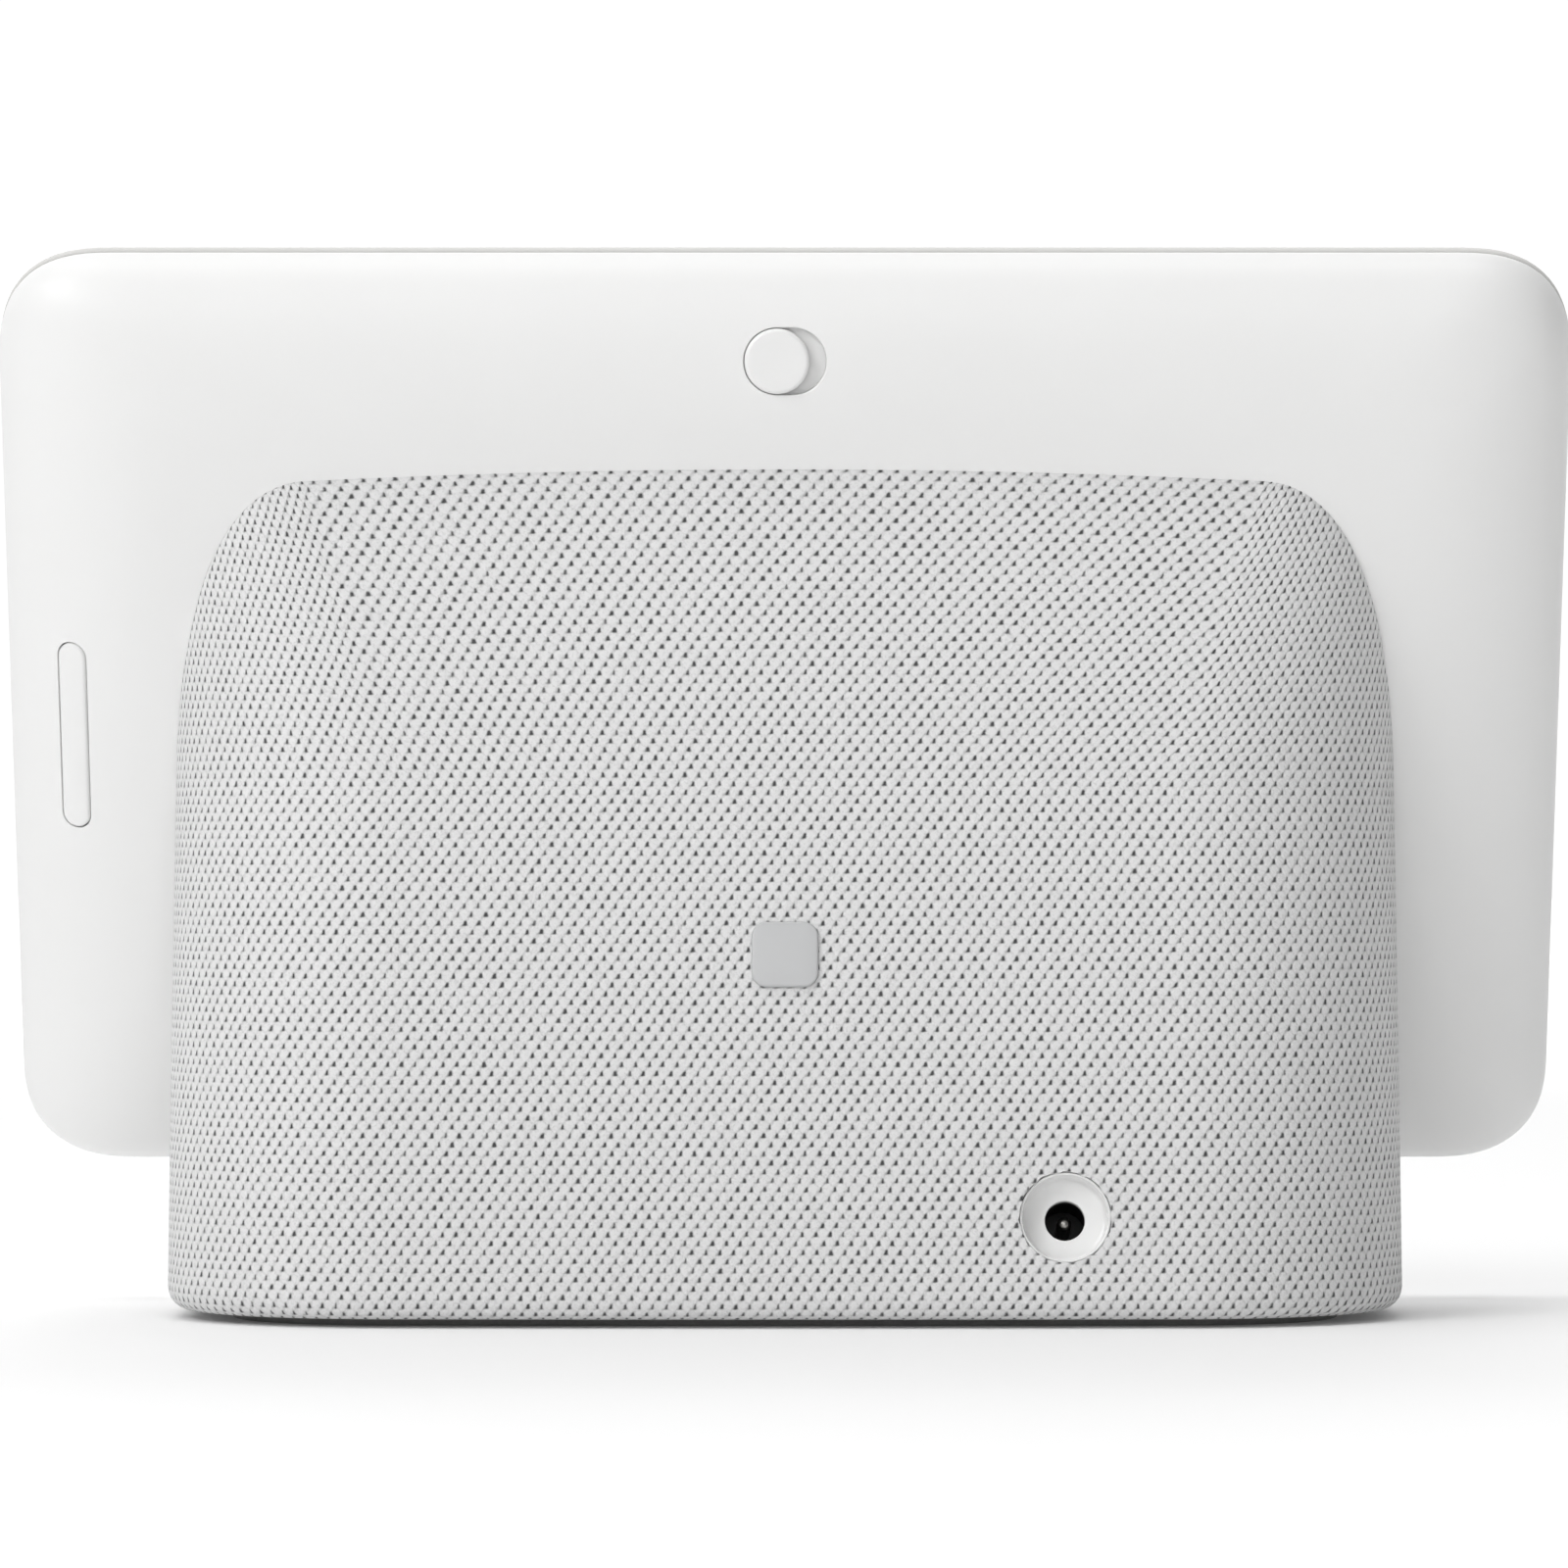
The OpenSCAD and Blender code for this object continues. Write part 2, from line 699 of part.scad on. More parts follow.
module volume_rocker() {
    proud = 0.15;
    color("whitesmoke") at_rocker() {
        translate([0, 0, -rocker_deep]) rotate([0, 0, 90])
            obround(rocker_l, rocker_w, rocker_deep + proud);
        translate([-rocker_w / 2 + 0.3, -2.5, -pivot_deep - 0.7])
            cube([rocker_w - 0.6, 5, pivot_deep - rocker_deep + 0.7 + eps]);
        translate([-pivot_half, 0, -pivot_deep]) rotate([0, 90, 0])
            cylinder(h = 2 * pivot_half, r = pivot_r);
        for (y = [-press_y, press_y]) translate([-1, y - 0.7, -press_deep])
            cube([2, 1.4, press_deep - rocker_deep + eps]);
    }
}

module volume_board() {
    color("darkgreen") at_rocker() {
        translate([-2.4, -14, -switch_end - seat - volume_board_t])
            cube([4.8, 28, volume_board_t]);
        for (side = [-1, 1]) mirror([side < 0 ? 1 : 0, 0, 0]) difference() {
            translate([ear_inner - 0.2, -1.2, -switch_end - seat - eps])
                cube([ear_t, 2.4, switch_end + seat - pivot_deep + 0.9 + eps]);
            translate([0, 0, -pivot_deep]) rotate([0, 90, 0])
                cylinder(h = 6, r = pivot_r + fit);
        }
    }
}

module volume_switches() {
    color("#333333") at_rocker() for (y = [-press_y, press_y]) difference() {
        translate([-1.6, y - 1.75, -switch_end]) cube([3.2, 3.5, switch_t]);
        translate([0, y, -switch_end + 0.25]) cylinder(h = switch_t, r = plunger_r + fit);
    }
}

// A switch's plunger: it reaches into the switch body with room left for its travel
module plunger(y) {
    color("ivory") at_rocker() translate([0, y, -switch_end + 0.3 + plunger_travel])
        cylinder(h = switch_end - 0.3 - plunger_travel - plunger_deep, r = plunger_r);
}

module plunger_up() {
    plunger(-press_y);
}

module plunger_down() {
    plunger(press_y);
}

/* Mute switch: the knob rests at the +X end of its slot */

module mute_knob() {
    color("whitesmoke") at_knob() translate([knob_travel / 2, 0, 0]) {
        translate([0, 0, -knob_deep]) cylinder(h = knob_deep + knob_proud - 0.25, d = knob_d);
        translate([0, 0, knob_proud - 0.25 - eps])
            cylinder(h = 0.25 + eps, d1 = knob_d, d2 = knob_d - 0.5);
        translate([-stem_l / 2, -stem_w / 2, -stem_end])
            cube([stem_l, stem_w, stem_end - knob_deep + eps]);
    }
}

module mute_lever() {
    color("black") at_knob() translate([knob_travel / 2, 0, 0]) difference() {
        translate([-lever_l / 2, -lever_w / 2, -stem_end])
            cube([lever_l, lever_w, stem_end - mute_switch_deep - 0.1]);
        translate([-stem_l / 2 - 0.02, -stem_w / 2 - 0.02, -stem_end - 1])
            cube([stem_l + 0.04, stem_w + 0.04, stem_end]);
    }
}

module mute_tray() {
    stem_slot = stem_l + knob_travel + 0.4;
    color("lightgray") at_knob() difference() {
        union() {
            translate([0, 0, -tray_end]) obround(slot_l - 0.1, slot_w - 0.1, tray_end - tray_deep);
            translate([0, 0, -tray_end])
                obround(slot_l + 3, slot_w + 2 * tray_rim, tray_end - tray_flange_deep);
        }
        translate([0, 0, -tray_end - 1]) linear_extrude(tray_end - tray_deep + 2)
            square([stem_slot, stem_w + 0.3], center = true);
        translate([stem_slot / 2 + 0.35, -stem_w, -tray_deep - patch_deep - seat])
            cube([slot_l / 2 - stem_slot / 2 - 0.9, 2 * stem_w, 1]);
    }
}

module mute_indicator() {
    stem_slot = stem_l + knob_travel + 0.4;
    color("darkorange") at_knob()
        translate([stem_slot / 2 + 0.4, -stem_w + seat, -tray_deep - patch_deep])
            cube([slot_l / 2 - stem_slot / 2 - 1, 2 * stem_w - 2 * seat, patch_deep]);
}

module mute_switch_body() {
    travel = lever_l + knob_travel + 0.4;
    color("#303030") at_knob() {
        difference() {
            translate([-4.6, -2.2, -mute_switch_end]) cube([9.2, 4.4, mute_switch_end - mute_switch_deep]);
            translate([-travel / 2, -lever_w / 2 - fit, -stem_end - 0.15])
                cube([travel, lever_w + 2 * fit, 3]);
        }
        translate([-5.5, -2.7, -mute_switch_end - 0.5]) cube([11, 5.4, 0.5 + eps]);
    }
}

/* Base */

module base_housing() {
    color("dimgray") difference() {
        base_form(housing_in);
        difference() {
            base_form(cavity_in);
            ahead(base_inner_y);
            housing_bosses();
            finger_room(housing_in + base_wall);
        }
        finger_room(housing_in);
        head_room(base_gap);
        head_frame() {
            on_neck_corners() peg(0, 0, head_t - 1, neck_boss_end - 0.6, neck_screw_r + fit);
            translate([0, head_t - 1, neck_z]) rotate([-90, 0, 0]) obround(24, 8, 9);
        }
        translate([0, 0, -1]) linear_extrude(housing_low + base_wall + 1.6)
            polygon(base_plan(0, opening_in));
        on_base_corners() cylinder(h = base_boss_top - 1, r = base_screw_r + fit);
        at_inlet() translate([0, 0, -12]) cylinder(h = 14, d = cup_d + 0.2);
        at_speaker() on_speaker_corners() cylinder(h = 2.4, r = 0.9 + fit);
        speaker_slots();
    }
}

// Bosses inside the housing for the neck's screws, the base plate's screws and the speaker
module housing_bosses() {
    head_frame() on_neck_corners() peg(0, 0, base_inner_y - 2, neck_boss_end, 3);
    on_base_corners() cylinder(h = base_boss_top, r = 2.8);
    at_speaker() difference() {
        translate([-chamber_half - 0.4, -chamber_half - 0.4, gasket_t])
            cube([2 * chamber_half + 0.8, 2 * chamber_half + 0.8, 3]);
        cylinder(h = 9, r = surround_out_r - 0.6, center = true);
    }
}

// Sound slots in the housing, in front of the cone
module speaker_slots() {
    slot_h = 2;
    pitch = 4.6;
    at_speaker() intersection() {
        translate([0, 0, gasket_t - 0.3]) cylinder(h = 9, r = cone_r);
        for (i = [-3 : 3]) translate([-cone_r, i * pitch - slot_h / 2, 0]) cube([2 * cone_r, slot_h, 12]);
    }
}

module fabric_sleeve() {
    color("lightsteelblue") difference() {
        base_form(0);
        difference() {
            base_form(fabric_t);
            finger_room(fabric_t);
        }
        finger_room(0);
        head_room(fabric_gap);
        translate([0, 0, -1]) linear_extrude(base_low + fabric_t + 1.5) polygon(base_plan(0, hem_w));
        at_inlet() translate([0, 0, -6]) cylinder(h = 8, d = cup_d + 0.1);
    }
}

module base_plate() {
    color("gray") difference() {
        translate([0, 0, base_low]) linear_extrude(plate_t) polygon(base_plan(0, plate_in));
        on_base_corners() {
            cylinder(h = 5, r = base_screw_r + 0.2);
            cylinder(h = base_low + screw_pocket, r = 2.3);
        }
    }
}

module base_screws() {
    color("silver") on_base_corners() translate([0, 0, base_low + screw_pocket - seat])
        screw(base_screw_r, base_boss_top - 3, 2.1, 0.6);
}

module foot_pad() {
    color("#d8d8d8") linear_extrude(foot_t) polygon(base_plan(0, plate_in + 1));
}

module badge() {
    r = 1.6;
    half = badge_w / 2;
    color("lightgray") on_back(0, badge_z) translate([0, 0, 0.06]) linear_extrude(0.6)
        polygon(concat(arc(half - r, half - r, r, 0, 90), arc(r - half, half - r, r, 90, 180),
            arc(r - half, r - half, r, 180, 270), arc(half - r, r - half, r, 270, 360)));
}

/* Power inlet */

module inlet_cup() {
    wall_r = cup_d / 2 - 0.3;
    floor_r = wall_r - 0.35;
    color("whitesmoke") at_inlet() rotate_extrude() polygon([
        [socket_d / 2, -cup_end], [cup_d / 2, -cup_end], [cup_d / 2, -cup_lip], [wall_r, -cup_lip],
        [floor_r, -dish_deep + dish_rise], [socket_d / 2 + 0.4, -dish_deep + 0.04],
        [socket_d / 2, -dish_deep]]);
}

module inlet_body() {
    color("#202020") at_inlet() difference() {
        translate([-body_w / 2, -body_w / 2, -body_end]) cube([body_w, body_w, body_end - body_start]);
        translate([0, 0, -body_end + floor_t]) cylinder(h = body_end, d = body_bore);
        translate([0, 0, -body_end - 1]) cylinder(h = 3, d = tail_d + 0.04);
    }
}

module inlet_pin() {
    tail_end = body_end + 0.4;
    color("silver") at_inlet() {
        translate([0, 0, -tail_end]) cylinder(h = tail_end - pin_foot + eps, d = tail_d);
        translate([0, 0, -pin_foot]) cylinder(h = pin_foot - pin_tip - pin_point, d = pin_d);
        translate([0, 0, -pin_tip - pin_point - eps])
            cylinder(h = pin_point + eps, d1 = pin_d, d2 = pin_d - 0.5);
    }
}

module inlet_board() {
    color("darkgreen") at_inlet() difference() {
        translate([-11, -6.8, -body_end - seat - 1]) cube([15.2, 11, 1]);
        translate([0, 0, -body_end - 4]) cylinder(h = 5, d = tail_d + 0.2);
    }
}

/* Cables inside the base and the neck */

function neck_point(x, y, z) = [x, head_front_y + y * cos(lean) + z * sin(lean),
    glass_z - y * sin(lean) + z * cos(lean)];

// The way through the neck and up to the main board
function neck_run(x) = [neck_point(x, head_t, neck_z), neck_point(x, board_y + 0.5, neck_z + 1),
    neck_point(x, board_y - 0.1, neck_z + 8), neck_point(x, board_y + 0.3, board_low - 0.6)];

module power_cable() {
    start = [inlet_x - 2, back_y(inlet_z) - body_end - 3.5, inlet_z + 2];
    color("black") tube(concat([start, start + [-1, -4, 1], [inlet_x - 1, 8, 24],
        neck_point(-chamber_half - 4, 19, neck_z - 8), neck_point(-20, 17, neck_z - 2),
        neck_point(-8, 16.5, neck_z)], neck_run(-7)), 0.9);
}

module speaker_cable() {
    side = chamber_half + 1.6;
    color("firebrick") tube(concat([[side, 10, 30], [side, 4, 28], neck_point(side, 17.5, neck_z - 4),
        neck_point(18, 17, neck_z - 1), neck_point(8, 16.5, neck_z)], neck_run(7)), 0.7);
}

/* Speaker */

module speaker_basket() {
    wall = 0.7;
    half = speaker_w / 2;
    low = -flange_t;
    color("#404448") at_speaker() difference() {
        union() {
            translate([-half, -half, low]) cube([speaker_w, speaker_w, flange_t]);
            rotate_extrude() polygon([[basket_low_r, basket_low], [basket_r + wall, low],
                [basket_r + wall, low + eps], [gap_r + 1, low + eps], [gap_r + 1, basket_low]]);
        }
        rotate_extrude() polygon([[0, basket_low + wall], [basket_low_r - wall, basket_low + wall],
            [basket_r, low], [basket_r, 1], [0, 1]]);
        translate([0, 0, basket_low - 1]) cylinder(h = 3, r = gap_r + 0.4);
        for (a = [0 : 90 : 270]) rotate([0, 0, a]) translate([11, -4, basket_low + 2]) cube([12, 8, 4.5]);
        on_speaker_corners() translate([0, 0, low - 1]) cylinder(h = 4, r = 1.2);
    }
}

module speaker_top_plate() {
    color("lightslategray") at_speaker() ring(14, gap_r, top_plate_low, basket_low - seat);
}

module speaker_magnet() {
    color("#2b2b2e") at_speaker() ring(15, gap_r + 1, magnet_low, top_plate_low - seat);
}

module speaker_yoke() {
    color("lightslategray") at_speaker() {
        translate([0, 0, yoke_low]) cylinder(h = magnet_low - seat - yoke_low, r = 14);
        translate([0, 0, yoke_low]) cylinder(h = basket_low - seat - yoke_low, r = pole_r);
    }
}

module speaker_spider() {
    z = basket_low + 2;
    color("goldenrod") at_speaker() rotate_extrude() polygon([
        [coil_out_r + 0.06, z - 0.3], [9.4, z + 0.1], [10.7, z - 0.5], [12, z - 0.1], [13.1, z - 0.4],
        [13.1, z - 0.1], [12, z + 0.2], [10.7, z - 0.2], [9.4, z + 0.4], [coil_out_r + 0.06, z]]);
}

module voice_coil() {
    low = top_plate_low - 1.2;
    color("#b5651d") at_speaker() {
        ring(coil_out_r - 0.2, coil_in_r, low, -5);
        ring(coil_out_r, coil_in_r, low, low + 4.4);
    }
}

module speaker_cone() {
    t = 0.4;
    color("#26282b") at_speaker() rotate_extrude() polygon([
        [coil_out_r - 0.15, -5.4], [cone_r, -1.2], [cone_r, -1.2 + t], [coil_out_r - 0.15, -5.4 + t + 0.1]]);
}

module dust_cap() {
    color("#35383c") at_speaker() rotate_extrude() polygon([
        [coil_out_r - 0.25, -4.85], [6, -3.7], [3, -3.1], [0, -2.9], [0, -3.3], [3, -3.5], [5.8, -4.1],
        [coil_out_r - 0.6, -4.95]]);
}

module speaker_surround() {
    color("#1c1c1e") at_speaker() rotate_extrude() polygon(concat(
        arc(cone_r + 1.8, -0.75, 1.7, 180, 0, 8), arc(cone_r + 1.8, -0.75, 1.3, 0, 180, 8)));
}

module speaker_gasket() {
    half = speaker_w / 2;
    color("#303030") at_speaker() difference() {
        translate([-half, -half, 0.04]) cube([speaker_w, speaker_w, gasket_t - 0.08]);
        cylinder(h = 4, r = surround_out_r + 0.1, center = true);
        on_speaker_corners() cylinder(h = 4, r = 1.2, center = true);
    }
}

module speaker_terminals() {
    color("gold") at_speaker() for (y = [-3, 3])
        translate([speaker_w / 2 + seat, y - 1.2, -flange_t - 2]) cube([1, 2.4, 3]);
}

module speaker_screws() {
    color("silver") at_speaker() on_speaker_corners()
        translate([0, 0, -flange_t - seat]) screw(0.9, 3.2, 1.9, 0.9);
}

// The sealed box behind the driver: a tapered profile drawn across the base
module speaker_chamber() {
    slope_top = 0.75 * chamber_half;
    color("#3a3d41") at_speaker() difference() {
        chamber_profile(chamber_half, [[-chamber_half, chamber_low / 2], [-slope_top, chamber_low],
            [chamber_half, chamber_low]], gasket_t - seat);
        chamber_profile(chamber_half - chamber_wall, [
            [-chamber_half + chamber_wall, chamber_low / 2],
            [-slope_top + chamber_wall, chamber_low + chamber_wall],
            [chamber_half - chamber_wall, chamber_low + chamber_wall]], 2);
        translate([chamber_half - 3, -3, -8]) cube([6, 6, 3]);
    }
}

module chamber_profile(half, low_points, top) {
    translate([-half, 0, 0]) rotate([90, 0, 90]) linear_extrude(2 * half)
        polygon(concat([[-half, top]], low_points, [[half, top]]));
}

cover_glass();
glass_adhesive();
front_frame();
lcd_panel();
backlight_unit();
display_flex();
heat_spreader();
thermal_pad();
main_board();
board_chips();
processor_shield();
radio_shield();
board_screws();
sensor_board();
light_sensor();
microphones();
mic_gaskets();
radar_module();
wifi_antennas();
rear_shell();
shell_screws();
neck_bracket();
bracket_screws();
volume_rocker();
volume_board();
volume_switches();
plunger_up();
plunger_down();
mute_knob();
mute_lever();
mute_tray();
mute_indicator();
mute_switch_body();
base_housing();
fabric_sleeve();
base_plate();
base_screws();
foot_pad();
badge();
inlet_cup();
inlet_body();
inlet_pin();
inlet_board();
power_cable();
speaker_cable();
speaker_basket();
speaker_top_plate();
speaker_magnet();
speaker_yoke();
speaker_spider();
voice_coil();
speaker_cone();
dust_cap();
speaker_surround();
speaker_gasket();
speaker_terminals();
speaker_screws();
speaker_chamber();
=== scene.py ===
"""Smart display seen from behind: the looks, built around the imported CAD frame.

Lengths are in millimetres while a shape is worked out, and in metres once it is a mesh.
"""
import json
import math

import bmesh
import bpy
import numpy as np
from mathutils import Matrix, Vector
from mathutils.bvhtree import BVHTree


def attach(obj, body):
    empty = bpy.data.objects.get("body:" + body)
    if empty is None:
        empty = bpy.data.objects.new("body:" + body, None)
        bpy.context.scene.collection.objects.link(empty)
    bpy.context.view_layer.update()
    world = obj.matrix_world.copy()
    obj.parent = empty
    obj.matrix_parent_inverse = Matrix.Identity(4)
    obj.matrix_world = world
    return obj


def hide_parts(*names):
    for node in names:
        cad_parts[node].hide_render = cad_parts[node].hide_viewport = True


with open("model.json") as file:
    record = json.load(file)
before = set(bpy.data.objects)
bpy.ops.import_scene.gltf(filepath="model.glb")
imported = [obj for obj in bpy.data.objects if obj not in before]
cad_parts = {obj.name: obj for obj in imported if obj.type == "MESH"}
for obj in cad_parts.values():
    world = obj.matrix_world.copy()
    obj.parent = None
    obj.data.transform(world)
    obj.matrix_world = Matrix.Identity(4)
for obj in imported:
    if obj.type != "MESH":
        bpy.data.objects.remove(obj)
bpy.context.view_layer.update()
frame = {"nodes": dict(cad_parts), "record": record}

# ---------------------------------------------------------------- driving sizes, as in the CAD

MM = 0.001
DEG = math.pi / 180

HEAD_W = 177.4          # display
HEAD_H = 111.2
HEAD_T = 12.0
LEAN = 22.4 * DEG
GLASS_Z = 17.6
CORNER_R = 13.0
CORNER_N = 2.58
RIM_T = 1.65
ROUND_W = 19.0
SHELL_WALL = 1.8
SCREEN_W = 154.2
SCREEN_H = 85.9
STRIP_Z = 106.3         # height of the light sensor and the microphones
MIC_X = 34.0
MIC_R = 0.35

BASE_W = 138.8          # base
BASE_FRONT = -22.0
BASE_BACK = 35.45
BASE_LEAN = 11.1 * DEG
BASE_CROWN_R = 780.0
BASE_BOW_R = 1500.0
BASE_BACK_R = 26.5
BASE_FRONT_R = 16.0
BASE_EDGE_R = 2.6
BASE_LOW = 0.95
FABRIC_T = 1.2
HEM_W = 6.0

ROCKER_L = 22.45        # controls
ROCKER_W = 3.35
ROCKER_IN = 7.7
ROCKER_Z = 55.9
ROCKER_GAP = 0.15
KNOB_D = 7.3
KNOB_TRAVEL = 1.8
KNOB_IN = 9.9
KNOB_GAP = 0.1

INLET_X = -30.8         # inlet and badge
INLET_Z = 12.2
CUP_D = 10.1
SOCKET_D = 4.4
PIN_R = 0.8
PIN_TIP = 4.35          # depths of the contact pin's ends, and of the step to its tail
PIN_STEP = 11.75
PIN_END = 13.65
DISH_DEEP = 2.4
CUP_BACK = 3.4
BADGE_W = 7.4
BADGE_Z = 40.9

STITCH_W = 1.52         # knit: width of a stitch and height of a row
STITCH_H = 1.0
CLOTH_ROWS = 84         # rows of mesh from the hem to the display
CLOTH_GAP = 0.08        # between the cloth's top edge and the display

HEAD_FRONT_Y = 0.7 - BASE_BACK    # the display's lower edge, from the middle of the whole depth
ROUND_D = HEAD_T - RIM_T
MID_Z = HEAD_H / 2

# ---------------------------------------------------------------- surfaces of the two bodies


def band_depth(inset):
    """Depth of the shell's rounded band, a distance in from the display's edge."""
    part = 1 - min(inset, ROUND_W) / ROUND_W
    return RIM_T + ROUND_D * math.sqrt(1 - part * part)


def band_tilt(inset):
    """Angle by which the band turns away from the flat back."""
    part = 1 - inset / ROUND_W
    return math.atan(ROUND_D * part / ROUND_W / math.sqrt(1 - part * part))


def back_lean(z):
    """Lean of the base's back face at a height; the face is crowned."""
    return math.asin(math.sin(BASE_LEAN) + z / BASE_CROWN_R)


def back_y(z):
    """Place of the base's back face at a height."""
    return BASE_BACK - BASE_CROWN_R * (math.cos(BASE_LEAN) - math.cos(back_lean(z)))


def bow_drop(x):
    """How far the back face falls away at the sides."""
    return BASE_BOW_R - math.sqrt(BASE_BOW_R ** 2 - x * x)


# ---------------------------------------------------------------- frames that pieces are drawn in


def axes(origin, x, z):
    """A frame from its origin, its X axis and its Z axis."""
    x, z = np.array(x, float), np.array(z, float)
    out = np.eye(4)
    out[:3, 0], out[:3, 1], out[:3, 2], out[:3, 3] = x, np.cross(z, x), z, origin
    return out


def placed(points, where):
    """Points of a frame in the part's own coordinates."""
    return np.asarray(points, float) @ where[:3, :3].T + where[:3, 3]


UP = np.array([0, math.sin(LEAN), math.cos(LEAN)])       # up along the glass
BACK = np.array([0, math.cos(LEAN), -math.sin(LEAN)])    # square to it, away from the glass
ACROSS = np.array([1.0, 0, 0])
HEAD = np.eye(4)
HEAD[:3, 1], HEAD[:3, 2], HEAD[:3, 3] = BACK, UP, (0, HEAD_FRONT_Y, GLASS_Z)


def rocker_frame():
    """On the band's surface at the middle of the rocker, Z outwards."""
    tilt = band_tilt(ROCKER_IN)
    out = math.sin(tilt) * ACROSS + math.cos(tilt) * BACK
    side = math.cos(tilt) * ACROSS - math.sin(tilt) * BACK
    at = placed([(HEAD_W / 2 - ROCKER_IN, band_depth(ROCKER_IN), ROCKER_Z)], HEAD)[0]
    return axes(at, side, out)


def knob_frame():
    """On the band's surface at the middle of the knob's slot, Z outwards."""
    tilt = band_tilt(KNOB_IN)
    at = placed([(0, band_depth(KNOB_IN), HEAD_H - KNOB_IN)], HEAD)[0]
    return axes(at, ACROSS, math.cos(tilt) * BACK + math.sin(tilt) * UP)


def base_frame(x, z):
    """A frame on the base's back face, Z outwards."""
    lean = back_lean(z)
    return axes((x, back_y(z) - bow_drop(x), z), ACROSS, (0, math.cos(lean), math.sin(lean)))


# ---------------------------------------------------------------- outlines and meshes


def arc(x, y, r, start, end, n):
    """Points of an arc about (x, y), in n steps between two angles in degrees."""
    turn = np.linspace(start, end, n + 1) * DEG
    return np.stack([x + r * np.cos(turn), y + r * np.sin(turn)], 1)


def display_outline(inset, r, corner=20, along=30, up=20):
    """The display's outline about its middle, drawn in, with evenly spaced points on its sides."""
    turn = np.linspace(0, math.pi / 2, corner + 1)
    cx, cy = r * np.cos(turn) ** (2 / CORNER_N), r * np.sin(turn) ** (2 / CORNER_N)
    cx[-1] = cy[0] = 0
    x, y = HEAD_W / 2 - inset - r, HEAD_H / 2 - inset - r
    quarter = np.stack([x + cx, y + cy], 1)
    turns = [quarter, quarter[::-1] * (-1, 1), quarter * (-1, -1), quarter[::-1] * (1, -1)]
    out = []
    for i, points in enumerate(turns):
        steps = along if i % 2 == 0 else up
        side = np.linspace(points[-1], turns[(i + 1) % 4][0], steps + 1)[1:-1]
        out += [points, side]
    return np.concatenate(out)


def obround(length, width, inset=0.0, n=24):
    """A bar with round ends along X."""
    r, x = width / 2 - inset, (length - width) / 2
    return np.concatenate([arc(x, 0, r, -90, 90, n), arc(-x, 0, r, 90, 270, n)])


def rounded_square(half, r, inset=0.0, n=10):
    r = max(r - inset, 0.05)
    c = half - inset - r
    corners = ((c, c, 0), (-c, c, 90), (-c, -c, 180), (c, -c, 270))
    return np.concatenate([arc(x, y, r, start, start + 90, n) for x, y, start in corners])


def circle(r, n=64):
    return arc(0, 0, r, 0, 360, n)[:-1]


def flat_ring(outline, height):
    """Outline points lifted to a height along Z."""
    return np.column_stack([outline, np.full(len(outline), height)])


def head_ring(outline, depth):
    """Outline points stood up in the display's frame, at a depth behind the glass."""
    return np.column_stack([outline[:, 0], np.full(len(outline), depth), MID_Z + outline[:, 1]])


def loft(rings, loop=False, caps=True):
    """Quads between rings of equal size; the ends are capped, or the last joins the first."""
    n, count = len(rings[0]), len(rings)
    faces = []
    for i in range(count if loop else count - 1):
        a, b = i * n, ((i + 1) % count) * n
        faces += [(a + k, a + (k + 1) % n, b + (k + 1) % n, b + k) for k in range(n)]
    if caps and not loop:
        faces.append(tuple(range(n - 1, -1, -1)))
        faces.append(tuple((count - 1) * n + k for k in range(n)))
    return np.concatenate(rings), faces


def stack(outline, profile, where):
    """A solid from an outline drawn in by each (inset, height) of a profile."""
    points, faces = loft([flat_ring(outline(inset), height) for inset, height in profile])
    return placed(points, where), faces


def fillet(r, top, steps=6):
    """Profile points of a rounded top edge: inset and height."""
    turn = np.linspace(0, math.pi / 2, steps + 1)
    return [(r * (1 - math.cos(a)), top - r + r * math.sin(a)) for a in turn]


def joined(*parts):
    """Several (points, faces) as one."""
    points, faces, start = [], [], 0
    for p, f in parts:
        points.append(p)
        faces += [tuple(i + start for i in face) for face in f]
        start += len(p)
    return np.concatenate(points), faces


def box(low, high, where):
    """A box between two opposite corners."""
    (x0, y0, z0), (x1, y1, z1) = low, high
    corners = [(x0, y0), (x1, y0), (x1, y1), (x0, y1)]
    points, faces = loft([flat_ring(np.array(corners, float), z) for z in (z0, z1)])
    return placed(points, where), faces


def rod(start, end, r):
    """A round bar between two points."""
    start, end = np.array(start, float), np.array(end, float)
    z = (end - start) / np.linalg.norm(end - start)
    side = np.cross(z, (0.3, 0.2, 1))
    where = axes(start, side / np.linalg.norm(side), z)
    points, faces = loft([flat_ring(circle(r, 32), height) for height in (0, np.linalg.norm(end - start))])
    return placed(points, where), faces


def mesh_object(name, points, faces):
    mesh = bpy.data.meshes.new(name)
    mesh.from_pydata([tuple(p) for p in np.asarray(points) * MM], [], faces)
    mesh.validate()
    obj = bpy.data.objects.new(name, mesh)
    bpy.context.scene.collection.objects.link(obj)
    return obj


def outward(mesh):
    """Turns every face of a closed mesh outwards."""
    work = bmesh.new()
    work.from_mesh(mesh)
    bmesh.ops.recalc_face_normals(work, faces=work.faces)
    work.to_mesh(mesh)
    work.free()


def smooth(obj, angle=35):
    obj.data.shade_smooth()
    obj.data.set_sharp_from_angle(angle=angle * DEG)


def freeze(obj):
    """Replaces an object's mesh with what its modifiers make of it."""
    graph = bpy.context.evaluated_depsgraph_get()
    mesh = bpy.data.meshes.new_from_object(obj.evaluated_get(graph))
    obj.modifiers.clear()
    obj.data = mesh


